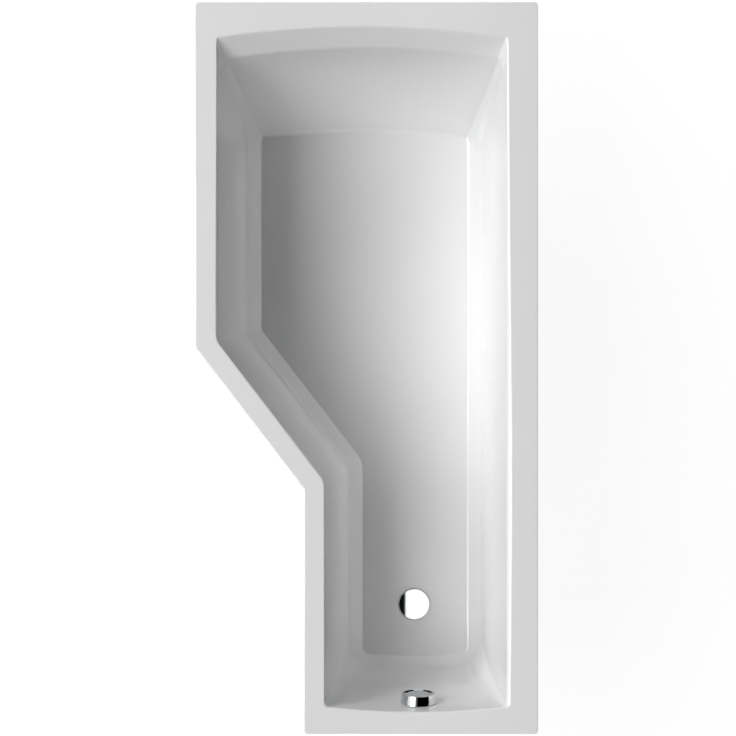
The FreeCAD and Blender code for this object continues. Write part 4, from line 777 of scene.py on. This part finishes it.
class Finish:
    """A material in the making, with textures in the bath's own frame."""

    def __init__(self, name):
        self.material = bpy.data.materials.new(name)
        self.material.use_nodes = True
        self.tree = self.material.node_tree
        self.shader = self.tree.nodes["Principled BSDF"]
        self.place = self.node("ShaderNodeTexCoord").outputs["Object"]

    def node(self, kind, **settings):
        made = self.tree.nodes.new(kind)
        for key, value in settings.items():
            setattr(made, key, value)
        return made

    def set(self, socket, value):
        self.shader.inputs[socket].default_value = value

    def feed(self, output, socket):
        self.tree.links.new(output, self.shader.inputs[socket])

    def stretched(self, size, turn, source=None):
        """Places measured in steps of a size, after a turn about Z."""
        mapping = self.node("ShaderNodeMapping", vector_type="TEXTURE")
        mapping.inputs["Scale"].default_value = size
        mapping.inputs["Rotation"].default_value = (0, 0, turn)
        self.tree.links.new(source or self.place, mapping.inputs["Vector"])
        return mapping.outputs["Vector"]

    def grain(self, scale, detail=2.0, vector=None):
        made = self.node("ShaderNodeTexNoise")
        made.inputs["Scale"].default_value = scale
        made.inputs["Detail"].default_value = detail
        self.tree.links.new(vector or self.place, made.inputs["Vector"])
        return made.outputs["Fac"]

    def cells(self, scale, vector=None):
        made = self.node("ShaderNodeTexVoronoi")
        made.inputs["Scale"].default_value = scale
        self.tree.links.new(vector or self.place, made.inputs["Vector"])
        return made.outputs["Color"]

    def ranged(self, value, low, high, start=0.0, end=1.0):
        made = self.node("ShaderNodeMapRange")
        for key, number in (("From Min", start), ("From Max", end), ("To Min", low), ("To Max", high)):
            made.inputs[key].default_value = number
        self.tree.links.new(value, made.inputs["Value"])
        return made.outputs["Result"]

    def most(self, first, second):
        made = self.node("ShaderNodeMath", operation="MAXIMUM")
        self.tree.links.new(first, made.inputs[0])
        self.tree.links.new(second, made.inputs[1])
        return made.outputs[0]

    def mixed(self, factor, first, second):
        made = self.node("ShaderNodeMix", data_type="RGBA")
        self.tree.links.new(factor, made.inputs[MIX_FACTOR])
        for socket, value in ((MIX_FIRST, first), (MIX_SECOND, second)):
            if isinstance(value, bpy.types.NodeSocket):
                self.tree.links.new(value, made.inputs[socket])
            else:
                made.inputs[socket].default_value = (*value, 1.0)
        return made.outputs[MIX_RESULT]

    def tint(self, factor, base, dark, light):
        """Vary the base colour between a darker and a lighter shade of itself."""
        self.feed(self.mixed(factor, shade(base, dark), shade(base, light)), "Base Color")

    def rough(self, value, low, high):
        """Vary the roughness between two limits."""
        self.feed(self.ranged(value, low, high), "Roughness")

    def bumped(self, height, strength, distance):
        made = self.node("ShaderNodeBump")
        made.inputs["Strength"].default_value = strength
        made.inputs["Distance"].default_value = distance
        self.tree.links.new(height, made.inputs["Height"])
        self.feed(made.outputs["Normal"], "Normal")


def shade(base, factor):
    """A darker or lighter shade of a colour."""
    return tuple(min(channel * factor, 1.0) for channel in base)


def acrylic_finish(finish, colours):
    finish.tint(finish.grain(scale=3.0, detail=3.0), colours.acrylic, dark=0.985, light=1.015)
    finish.rough(finish.grain(scale=14.0, detail=4.0), low=0.12, high=0.17)
    finish.bumped(finish.grain(scale=90.0), strength=0.02, distance=0.001)
    finish.set("IOR", 1.75)


def fibre_finish(finish, colours):
    along = finish.node("ShaderNodeUVMap", uv_map=STRAND_MAP).outputs["UV"]
    strands = None
    for angle in STRAND_TURNS:
        lines = finish.grain(scale=1.0, detail=1.0, vector=finish.stretched(STRAND_SIZE, angle, along))
        strand = finish.ranged(lines, low=0.0, high=1.0, start=0.58, end=0.7)
        strands = strand if strands is None else finish.most(strands, strand)
    patch = finish.ranged(finish.grain(scale=5.0, detail=5.0), low=0.0, high=1.0, start=0.3, end=0.7)
    resin = finish.mixed(patch, shade(colours.resin, 0.88), shade(colours.resin, 1.1))
    finish.feed(finish.mixed(strands, resin, colours.strand), "Base Color")
    finish.rough(finish.grain(scale=30.0, detail=3.0), low=0.3, high=0.55)
    finish.bumped(strands, strength=0.6, distance=0.0005)


def chipboard_finish(finish, colours):
    chips = finish.cells(scale=1.0, vector=finish.stretched(CHIP_SIZE, CHIP_TURN))
    fine = finish.cells(scale=1.0, vector=finish.stretched(FINE_CHIP_SIZE, FINE_CHIP_TURN))
    coarse = finish.mixed(chips, colours.chip_dark, colours.chip_light)
    small = finish.mixed(fine, shade(colours.chip_dark, 1.3), shade(colours.chip_light, 0.9))
    finish.feed(finish.mixed(finish.grain(scale=60.0), coarse, small), "Base Color")
    finish.rough(finish.grain(scale=200.0), low=0.7, high=0.95)
    finish.bumped(finish.grain(scale=500.0, detail=3.0), strength=0.4, distance=0.0004)


def zinc_finish(finish, colours):
    spangle = finish.cells(scale=110.0)
    finish.feed(finish.mixed(spangle, colours.zinc_dark, colours.zinc_light), "Base Color")
    finish.rough(spangle, low=0.28, high=0.5)
    finish.bumped(finish.grain(scale=700.0), strength=0.1, distance=0.0002)
    finish.set("Metallic", 1.0)


def chrome_finish(finish, colours):
    haze = finish.grain(scale=35.0, detail=4.0)
    finish.tint(haze, colours.chrome, dark=0.97, light=1.03)
    finish.rough(haze, low=0.008, high=0.025)
    finish.set("Metallic", 1.0)


def moulded_finish(finish, base, roughness):
    finish.tint(finish.grain(scale=12.0, detail=3.0), base, dark=0.9, light=1.1)
    mottle = finish.grain(scale=60.0, detail=3.0)
    finish.rough(mottle, low=roughness - MOULDED_SPREAD, high=roughness + MOULDED_SPREAD)
    finish.bumped(finish.grain(scale=900.0), strength=0.12, distance=0.0002)


def brass_finish(finish, colours):
    tarnish = finish.grain(scale=50.0, detail=4.0)
    finish.tint(tarnish, colours.brass, dark=0.7, light=1.1)
    finish.rough(tarnish, low=0.35, high=0.2)
    finish.set("Metallic", 1.0)


FINISHES = {
    "acrylic": acrylic_finish,
    "fibre": fibre_finish,
    "chipboard": chipboard_finish,
    "zinc_steel": zinc_finish,
    "chrome": chrome_finish,
    "brass": brass_finish,
    "grey_plastic": lambda finish, colours: moulded_finish(finish, colours.grey_plastic, roughness=0.42),
    "white_plastic": lambda finish, colours: moulded_finish(finish, colours.white_plastic, roughness=0.38),
    "black_plastic": lambda finish, colours: moulded_finish(finish, colours.black_plastic, roughness=0.5),
    "rubber": lambda finish, colours: moulded_finish(finish, colours.rubber, roughness=0.75),
}


def finish_of(slot):
    """The material of a slot of the record, made once."""
    name = f"{slot}_looks"
    if name not in bpy.data.materials:
        FINISHES[slot](Finish(name), bpy.context.scene.bath_finishes)
    return bpy.data.materials[name]


# Operators

class BATH_OT_carried_nodes(Operator):
    """Give every CAD node the procedural material of its slot"""

    bl_idname = "bath.carried_nodes"
    bl_label = "Finish the CAD pieces"

    def execute(self, context):
        slots = {row["node"]: row["material_slot"] for row in frame["record"]["subparts"]}
        for node, thing in frame["nodes"].items():
            thing.data.materials.clear()
            thing.data.materials.append(finish_of(slots[node]))
        return {"FINISHED"}


def recess_rings(s):
    """Rings of the waste's recess, with their roundings: from the floor to the drain hole and back below."""
    waste, floor, sheet = waste_place(s), s.rim_height - s.basin_depth, s.sheet_thick
    flat = Vector((waste.x, waste.y, floor - s.recess_depth))
    base = Vector((waste.x, waste.y, floor - s.recess_depth - sheet))
    seat = Vector((waste.x, waste.y, floor + s.ring_rise))
    boss = s.recess_radius + sheet
    return [
        (floor_circle(s, s.recess_radius + s.ring_border, 0.0), None),
        (floor_circle(s, s.recess_radius + s.ring_lap, 0.0), s.ring_round),
        (circle(seat, s.seat_radius, TURNED_SIDES), s.seat_round),
        (circle(flat, s.seat_radius - s.seat_step, TURNED_SIDES), s.recess_edge),
        (circle(flat, s.drain_radius, TURNED_SIDES), s.drain_edge),
        (circle(base, s.drain_radius, TURNED_SIDES), s.drain_edge),
        (circle(base, boss, TURNED_SIDES), s.boss_edge),
        (floor_circle(s, boss, sheet), s.boss_edge),
        (floor_circle(s, boss + s.ring_border, sheet), None),
    ]


class BATH_OT_shell(Operator):
    """Mould the acrylic shell: lip, rim, basin and the recess of the waste"""

    bl_idname = "bath.shell"
    bl_label = "Acrylic shell"

    def execute(self, context):
        s = context.scene.bath_sizes
        sheet, depth, top = s.sheet_thick, s.basin_depth, s.rim_height
        lip_level, low_drop = top - s.rim_lip, wall_drop(s)
        drops = wall_drops(s, WALL_STEPS)[:-1]
        border, crisp = -s.floor_border, s.crease_round
        crease = by_run((crisp, crisp, crisp, s.crease_right, crisp, crisp), {HEAD_RUN: s.back_round})
        mouth = by_run((s.mouth_left, s.mouth_left, s.mouth_ends, s.mouth_right, s.mouth_ends, s.mouth_left))
        inner = [(basin_ring(s, depth, border), None), (basin_ring(s, depth), crease),
                 (basin_ring(s, low_drop), s.cove_round)]
        inner += [(basin_ring(s, drop), None) for drop in reversed(drops)]
        inner += [(basin_ring(s, s.bevel_drop), s.bevel_round), (basin_ring(s, 0.0), mouth)]
        lip = [(rim_outline(s, 0.0, top), s.edge_round), (rim_outline(s, 0.0, lip_level), s.lip_edge),
               (rim_outline(s, sheet, lip_level), s.lip_edge),
               (rim_outline(s, sheet, top - sheet), s.under_round)]
        outer = [(basin_ring(s, 0.0, sheet, sheet), s.under_round),
                 (basin_ring(s, s.bevel_drop, sheet), None)]
        outer += [(basin_ring(s, drop, sheet), None) for drop in drops]
        outer += [(basin_ring(s, low_drop, sheet), s.cove_round), (basin_ring(s, depth, sheet, sheet), crisp),
                  (basin_ring(s, depth, border, sheet), None)]
        form = Form()
        rows = form.skin(rounded_rows(inner + lip + outer))
        recess = form.skin(rounded_rows(recess_rings(s)))
        form.fill(rows[0], recess[0])
        form.fill(rows[-1], recess[-1])
        mesh = cut_round(form.finish("Acrylic shell"), overflow_frame(s), s.overflow_radius, s.rim_foot)
        add_piece("acrylic_shell", mesh, "acrylic", "tub_shell")
        return {"FINISHED"}


class BATH_OT_backing(Operator):
    """Lay the glass-fibre backing over the underside of the basin"""

    bl_idname = "bath.backing"
    bl_label = "Glass-fibre backing"

    def execute(self, context):
        s = context.scene.bath_sizes
        near = s.sheet_thick + s.bond_gap
        far = near + s.backing_thick
        depth, border = s.basin_depth, -s.floor_border
        drops = [s.bevel_drop / 2, s.bevel_drop] + wall_drops(s, BACKING_STEPS)
        inside = [basin_ring(s, 0.0, near, near)] + [basin_ring(s, drop, near) for drop in drops]
        outside = [basin_ring(s, 0.0, far, near)] + [basin_ring(s, drop, far) for drop in drops]
        for row, under in zip(outside, inside):
            for point, back in zip(row, under):
                coarse, fine = noise.noise(point * COARSE_WAVES), noise.noise(point * FINE_WAVES)
                wave = coarse * COARSE_SHARE + fine * FINE_SHARE
                point += (back - point).normalized() * s.backing_wave * ((1 + wave) / 2)
        for row in (inside[0], outside[0]):
            for point in row:
                point.z -= s.backing_trim * (1 + noise.noise(Vector((point.x, point.y, 0)) * TRIM_WAVES))
        rows = [basin_ring(s, depth, border, near), basin_ring(s, depth, near, near)] + inside[::-1] + outside
        rows += [basin_ring(s, depth, far, far), basin_ring(s, depth, border, far)]
        form = Form()
        made = form.skin(rows)
        edge = form.skin([floor_circle(s, s.drain_clear, near), floor_circle(s, s.drain_clear, far)])
        form.fill(made[0], edge[0])
        form.fill(made[-1], edge[1])
        mesh = cut_round(form.finish("Glass-fibre backing"), overflow_frame(s), s.overflow_clear, s.rim_foot)
        lay_flat(mesh, STRAND_MAP)
        add_piece("glass_fibre_backing", mesh, "fibre", "fibre_backing")
        return {"FINISHED"}


class BATH_OT_crossbars(Operator):
    """Press the two steel crossbars, channels with rounded bends"""

    bl_idname = "bath.crossbars"
    bl_label = "Crossbars"

    def execute(self, context):
        f = context.scene.bath_fittings
        wall, bend = f.bar_wall, f.bar_bend
        edge, inner_bend = wall / 3, bend - wall
        for end in ENDS:
            low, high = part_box(f"{end}_crossbar")
            section = [
                (low.y, low.z, edge), (low.y, high.z, bend), (high.y, high.z, bend), (high.y, low.z, edge),
                (high.y - wall, low.z, edge), (high.y - wall, high.z - wall, inner_bend),
                (low.y + wall, high.z - wall, inner_bend), (low.y + wall, low.z, edge)]
            outline = rounded_line(section, True)
            form = Form()
            rows = form.skin([[Vector((x, p.x, p.z)) for p in outline] for x in (low.x, high.x)])
            for row in rows:
                form.close(row)
            add_piece(f"{end}_bar", form.finish("Crossbar"), "zinc_steel", f"{end}_crossbar")
        return {"FINISHED"}


def thread_rod(form, place, low, high, f, radius):
    """A screw thread: columns that climb one pitch round the rod."""
    pitch, root, slim = f.thread_pitch, radius - f.thread_depth, radius - f.thread_end
    crest, leave, back = THREAD_SHARES
    steps = ((0.0, root), (crest, radius), (leave, radius), (back, root))
    rounds = math.ceil((high - low) / pitch) + 2
    rows = []
    for j in range(THREAD_SIDES + 1):
        column = []
        for number in range(rounds):
            for share, reach in steps:
                z = low + pitch * (number - 1 + share + j / THREAD_SIDES)
                taper = max(0.0, f.thread_end - min(z - low, high - z))
                reach = min(reach, radius - min(taper, f.thread_end))
                column.append(place @ polar(reach, math.tau * j / THREAD_SIDES, min(max(z, low), high)))
        rows.append(form.row(column))
    for left, right in zip(rows, rows[1:]):
        for k in range(len(left) - 1):
            form.mesh.faces.new((left[k], right[k], right[k + 1], left[k + 1]))
    for end in (low, high):
        ring = [polar(slim, math.tau * j / THREAD_SIDES, end) for j in range(THREAD_SIDES)]
        form.close(form.row([place @ p for p in ring]))


class BATH_OT_legs(Operator):
    """Cut the threaded legs and mould their foot pads"""

    bl_idname = "bath.legs"
    bl_label = "Screw legs"

    def execute(self, context):
        f = context.scene.bath_fittings
        for leg in LEGS:
            middle, radius, low, high = span(f"{leg}_leg_spindle")
            place = Matrix.Translation((middle.x, middle.y, 0))
            form = Form()
            thread_rod(form, place, low, high, f, radius)
            add_piece(f"{leg}_screw_leg", form.finish("Screw leg"), "zinc_steel", f"{leg}_leg_spindle")
            middle, radius, low, high = span(f"{leg}_foot_pad")
            bottom = high - f.pad_socket_depth
            corners = [
                (0, low, 0), (radius, low, f.pad_edge), (radius, low + f.pad_rim, f.pad_rim_round),
                (f.pad_neck + f.pad_flare, low + f.pad_flare_height, f.pad_flare),
                (f.pad_neck, high, f.pad_top), (f.pad_socket, high, f.socket_edge),
                (f.pad_socket, bottom, f.socket_round), (0, bottom, 0)]
            pad = turned_mesh("Foot pad", corners, place, False, PAD_SIDES)
            add_piece(f"{leg}_pad", pad, "black_plastic", f"{leg}_foot_pad")
        return {"FINISHED"}


def hex_nut(form, place, apothem, bore, low, high):
    """A hexagon nut, with the round bevels that cut its corners."""
    sixth = math.pi / 3
    columns = []
    for i in range(NUT_SIDES):
        angle = math.tau * i / NUT_SIDES
        reach = apothem / math.cos((angle + sixth / 2) % sixth - sixth / 2)
        bevel = (reach - apothem) * math.tan(NUT_BEVEL)
        line = [(bore, low), (apothem, low), (reach, low + bevel)]
        line += [(reach, high - bevel), (apothem, high), (bore, high)]
        columns.append([place @ polar(radius, angle, height) for radius, height in line])
    form.skin(list(zip(*columns)), loop=True)


class BATH_OT_leg_nuts(Operator):
    """Forge the weld nuts and lock nuts on the legs"""

    bl_idname = "bath.leg_nuts"
    bl_label = "Leg nuts"

    def execute(self, context):
        f = context.scene.bath_fittings
        apothem = f.leg_nut_corner * math.cos(math.pi / 6)
        kinds = [("weld", f.weld_nut_thick, 0.0), ("lock", f.lock_nut_thick, f.weld_nut_thick)]
        for name, thick, drop in kinds:
            form = Form()
            for leg in LEGS:
                end = leg.split("_")[0]
                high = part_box(f"{end}_crossbar")[1].z - f.bar_wall - drop
                middle = span(f"{leg}_leg_spindle")[0]
                place = Matrix.Translation((middle.x, middle.y, 0))
                hex_nut(form, place, apothem, f.spindle_bore, high - thick, high)
            add_piece(f"{name}_nuts", form.finish("Leg nuts"), "zinc_steel", f"leg_{name}_nuts")
        return {"FINISHED"}


class BATH_OT_plug(Operator):
    """Press the chrome cover of the pop-up plug"""

    bl_idname = "bath.plug"
    bl_label = "Plug cover"

    def execute(self, context):
        f = context.scene.bath_fittings
        middle, radius, low, high = span("plug_cover")
        corners = [(0, low, 0), (radius, low, f.plug_edge / 2), (radius, high, f.plug_edge), (0, high, 0)]
        place = Matrix.Translation((middle.x, middle.y, 0))
        mesh = turned_mesh("Plug cover", corners, place, False, CHROME_SIDES)
        add_piece("plug_disc", mesh, "chrome", "plug_cover")
        return {"FINISHED"}


class BATH_OT_knob(Operator):
    """Cast the dished chrome knob of the overflow"""

    bl_idname = "bath.knob"
    bl_label = "Overflow knob"

    def execute(self, context):
        s, f = context.scene.bath_sizes, context.scene.bath_fittings
        outer, inner, edge = f.knob_radius, f.knob_radius - f.knob_wall, f.knob_edge
        back, front = f.knob_gap, f.knob_gap + f.knob_depth
        dish = front - f.knob_dish
        face = dish - f.knob_face
        boss = face - f.knob_boss_height
        hollow = inner - edge - f.knob_taper
        corners = [
            (0, dish, 0), (hollow - f.knob_dish_slope, dish, f.knob_dish_slope), (hollow, front, edge / 2),
            (outer - f.knob_taper, front, edge), (outer, back, edge / 2), (inner, back, edge / 2),
            (inner, face, edge), (f.knob_boss, face, edge / 2), (f.knob_boss, boss, edge / 2),
            (f.knob_bore, boss, 0), (f.knob_bore, face, 0), (0, face, 0)]
        mesh = turned_mesh("Overflow knob", corners, overflow_frame(s), False, CHROME_SIDES)
        add_piece("overflow_turn_knob", mesh, "chrome", "overflow_knob")
        return {"FINISHED"}


class BATH_OT_slip_nuts(Operator):
    """Mould the ribbed slip nuts of the pipe and the trap"""

    bl_idname = "bath.slip_nuts"
    bl_label = "Slip nuts"

    def execute(self, context):
        s, f = context.scene.bath_sizes, context.scene.bath_fittings
        edge, wall, depth = f.nut_edge, f.pipe_nut_wall, f.rib_depth
        low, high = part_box("lower_pipe_nut")
        half, outer = (high.y - low.y) / 2, (high.x - low.x) / 2
        step, skirt = f.pipe_nut_skirt + f.pipe_seal_thick - half, outer - wall
        ways = {
            "lower": Matrix.Rotation(math.pi / 2, 4, "X"),
            "upper": overflow_frame(s).to_3x3().to_4x4() @ Matrix.Rotation(-math.pi / 2, 4, "X"),
        }
        for end, way in ways.items():
            place = Matrix.Translation(span(f"{end}_pipe_nut")[0]) @ way
            corners = [
                (skirt, -half, edge / 2), (outer, -half, edge), (outer, half, 2 * edge),
                (f.pipe_nut_bore, half, edge / 2), (f.pipe_nut_bore, step, 0), (skirt, step, 0)]
            mesh = ribbed_mesh("Pipe nut", corners, place, True, PIPE_NUT_RIBS, depth, outer - wall / 2)
            add_piece(f"{end}_pipe_slip_nut", mesh, "white_plastic", f"{end}_pipe_nut")
        for end, over in (("inlet", 0.0), ("outlet", math.pi)):
            middle, outer, low, high = span(f"trap_{end}_nut")
            half = (high - low) / 2
            lip, seat = f.trap_nut_lip - half, half - f.trap_nut_skirt
            place = Matrix.Translation(middle) @ Matrix.Rotation(over, 4, "X")
            corners = [
                (f.trap_nut_bore, half, edge), (outer, half, 2 * edge), (outer, -half, edge),
                (f.trap_nut_bore, -half, edge / 2), (f.trap_nut_bore, lip, 0), (f.collar_bore, lip, 0),
                (f.collar_bore, seat, 0), (f.trap_nut_bore, seat, 0)]
            mesh = ribbed_mesh("Trap nut", corners, place, True, TRAP_NUT_RIBS, depth, outer - wall / 2)
            add_piece(f"trap_{end}_slip_nut", mesh, "white_plastic", f"trap_{end}_nut")
        low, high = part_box("trap_cleaning_cap")
        outer, half = (high.x - low.x) / 2, (high.y - low.y) / 2
        wall = f.cap_wall
        inner, roof = outer - wall, half - wall
        place = Matrix.Translation((low + high) / 2) @ Matrix.Rotation(math.pi / 2, 4, "X")
        corners = [
            (0, half, 0), (outer, half, 2 * edge), (outer, -half, edge), (inner, -half, edge / 2),
            (inner, roof, 0), (0, roof, 0)]
        mesh = ribbed_mesh("Cleaning cap", corners, place, False, PIPE_NUT_RIBS, depth, outer - wall / 2)
        add_piece("cleaning_eye_cap", mesh, "white_plastic", "trap_cleaning_cap")
        return {"FINISHED"}


# Studio

def white_where_seen(tree, plain, white, output):
    """Show camera, glossy and transmission rays a white shader, and light the bath by a plain one."""
    path = tree.nodes.new("ShaderNodeLightPath")
    seen = path.outputs["Is Camera Ray"]
    for other in ("Is Glossy Ray", "Is Transmission Ray"):
        most = tree.nodes.new("ShaderNodeMath")
        most.operation = "MAXIMUM"
        tree.links.new(seen, most.inputs[0])
        tree.links.new(path.outputs[other], most.inputs[1])
        seen = most.outputs[0]
    choice = tree.nodes.new("ShaderNodeMixShader")
    for socket, source in zip(choice.inputs, (seen, plain.outputs[0], white.outputs[0])):
        tree.links.new(source, socket)
    tree.links.new(choice.outputs[0], tree.nodes[output].inputs["Surface"])


def gloss_card(name, distance, ends, reach, level, window=None):
    """A curved card over the bath that only reflections show, with a window between angles and along it."""
    form = Form()
    across = [ends[0] + (ends[1] - ends[0]) * i / CARD_STEPS for i in range(CARD_STEPS + 1)]
    along = list(reach)
    if window:
        across, along = sorted(across + list(window[0])), sorted(along + list(window[1]))
    lines = [form.row([Vector((distance * math.sin(angle), y, distance * math.cos(angle)))
                       for angle in across]) for y in along]
    for near, far, y in zip(lines, lines[1:], along):
        for i, angle in enumerate(across[:-1]):
            if window and y == window[1][0] and window[0][0] <= angle < window[0][1]:
                continue
            form.mesh.faces.new((near[i], near[i + 1], far[i + 1], far[i]))
    card = bpy.data.objects.new(name, form.finish(name))
    material = bpy.data.materials.new(name)
    material.use_nodes = True
    shader = material.node_tree.nodes["Principled BSDF"]
    shader.inputs["Base Color"].default_value = BLACK
    shader.inputs["Specular IOR Level"].default_value = 0.0
    shader.inputs["Emission Color"].default_value = WHITE
    shader.inputs["Emission Strength"].default_value = level
    card.data.materials.append(material)
    bpy.context.scene.collection.objects.link(card)
    for ray in ("camera", "diffuse", "transmission", "volume_scatter", "shadow"):
        setattr(card, f"visible_{ray}", False)


class BATH_OT_studio(Operator):
    """Set the camera, the floor, the soft light and the white background"""

    bl_idname = "bath.studio"
    bl_label = "Studio"

    def execute(self, context):
        scene, look = context.scene, context.scene.bath_studio
        scene.view_settings.view_transform = "Standard"
        camera = bpy.data.objects.new("Camera", bpy.data.cameras.new("Camera"))
        camera.location = (look.camera_x, 0, look.camera_height)
        camera.data.lens = look.lens
        scene.collection.objects.link(camera)
        scene.camera = camera
        self.add_floor(scene, look)
        self.add_lamps(look)
        self.add_background(scene, look)
        left, border, right = look.card_turns
        distance, reach = look.card_distance, look.card_reach
        window = look.window_turns, look.window_reach
        gloss_card("Grey card", distance, (left, border), reach, look.grey_glow)
        gloss_card("Dark card", distance, (border, right), reach, 0.0, window)
        gloss_card("White card", distance + look.window_gap, look.window_turns, reach, look.window_glow)
        return {"FINISHED"}

    def add_floor(self, scene, look):
        half, level = look.floor_size / 2, -look.floor_gap
        corners = [(-half, -half, level), (half, -half, level), (half, half, level), (-half, half, level)]
        mesh = bpy.data.meshes.new("Floor")
        mesh.from_pydata(corners, [], [(0, 1, 2, 3)])
        floor = bpy.data.objects.new("Floor", mesh)
        material = bpy.data.materials.new("Floor")
        material.use_nodes = True
        tree = material.node_tree
        tree.nodes.remove(tree.nodes["Principled BSDF"])
        plain, faint = (tree.nodes.new("ShaderNodeBsdfDiffuse") for _ in range(2))
        plain.inputs["Color"].default_value = (*look.floor_colour, 1.0)
        faint.inputs["Color"].default_value = (look.floor_white - look.floor_glow,) * 3 + (1.0,)
        glow = tree.nodes.new("ShaderNodeEmission")
        glow.inputs["Strength"].default_value = look.floor_glow
        white = tree.nodes.new("ShaderNodeAddShader")
        tree.links.new(glow.outputs[0], white.inputs[0])
        tree.links.new(faint.outputs[0], white.inputs[1])
        white_where_seen(tree, plain, white, "Material Output")
        mesh.materials.append(material)
        scene.collection.objects.link(floor)

    def add_lamps(self, look):
        rim, far, width = cad_high.z, look.lamp_distance, look.lamp_width
        low = look.low_elevation, far, width, look.low_size
        skirt = 0.0, look.skirt_distance, look.skirt_width, look.skirt_height
        self.add_lamp("Key", look.key_power, rim, math.pi, look.key_elevation, far, width, look.key_size)
        fills = [
            self.add_lamp("Left", look.left_power, rim, math.pi - look.left_turn, *low),
            self.add_lamp("Foot", look.foot_power, rim, -math.pi / 2 - look.foot_turn, *low),
            self.add_lamp("Skirt", look.skirt_power, rim / 2, look.skirt_turn, *skirt)]
        # Of the lamps, reflections show the key light alone
        for lamp in fills:
            lamp.visible_glossy = False

    def add_lamp(self, name, power, level, angle, elevation, distance, width, size):
        data = bpy.data.lights.new(name, "AREA")
        data.shape, data.size, data.size_y = "RECTANGLE", width, size
        data.energy = power
        lamp = bpy.data.objects.new(name, data)
        across = math.cos(elevation)
        way = Vector((across * math.cos(angle), across * math.sin(angle), math.sin(elevation)))
        lamp.location = Vector((0, 0, level)) + way * distance
        lamp.rotation_euler = way.to_track_quat("Z", "Y").to_euler()
        bpy.context.scene.collection.objects.link(lamp)
        return lamp

    def add_background(self, scene, look):
        world = bpy.data.worlds.new("Studio")
        world.use_nodes = True
        tree = world.node_tree
        room = tree.nodes["Background"]
        room.inputs["Color"].default_value = (*look.room_colour, 1.0)
        room.inputs["Strength"].default_value = look.room_light
        white = tree.nodes.new("ShaderNodeBackground")
        white.inputs["Color"].default_value = WHITE
        white_where_seen(tree, room, white, "World Output")
        scene.world = world


class VIEW3D_PT_bath(Panel):
    """Sizes, finishes and steps of the bath"""

    bl_label = "Bath"
    bl_space_type = "VIEW_3D"
    bl_region_type = "UI"
    bl_category = "Bath"

    def draw(self, context):
        for step in STEPS:
            self.layout.operator(step.bl_idname)
        for group in GROUPS:
            box = self.layout.box()
            settings = getattr(context.scene, group)
            for name in settings.bl_rna.properties.keys():
                if name not in ("rna_type", "name"):
                    box.prop(settings, name)


STEPS = [
    BATH_OT_studio, BATH_OT_carried_nodes, BATH_OT_shell, BATH_OT_backing, BATH_OT_crossbars, BATH_OT_legs,
    BATH_OT_leg_nuts, BATH_OT_plug, BATH_OT_knob, BATH_OT_slip_nuts,
]
GROUPS = {
    "bath_sizes": BathSizes,
    "bath_fittings": FittingSizes,
    "bath_finishes": BathFinishes,
    "bath_studio": StudioLook,
}


def register():
    for made in (*GROUPS.values(), *STEPS, VIEW3D_PT_bath):
        bpy.utils.register_class(made)
    for name, group in GROUPS.items():
        setattr(bpy.types.Scene, name, PointerProperty(type=group))


def unregister():
    for name in GROUPS:
        delattr(bpy.types.Scene, name)
    for made in reversed((*GROUPS.values(), *STEPS, VIEW3D_PT_bath)):
        bpy.utils.unregister_class(made)


def main():
    register()
    bpy.ops.bath.studio()
    bpy.ops.bath.carried_nodes()
    bpy.ops.bath.shell()
    bpy.ops.bath.backing()
    bpy.ops.bath.crossbars()
    bpy.ops.bath.legs()
    bpy.ops.bath.leg_nuts()
    bpy.ops.bath.plug()
    bpy.ops.bath.knob()
    bpy.ops.bath.slip_nuts()


if __name__ == "__main__":
    main()
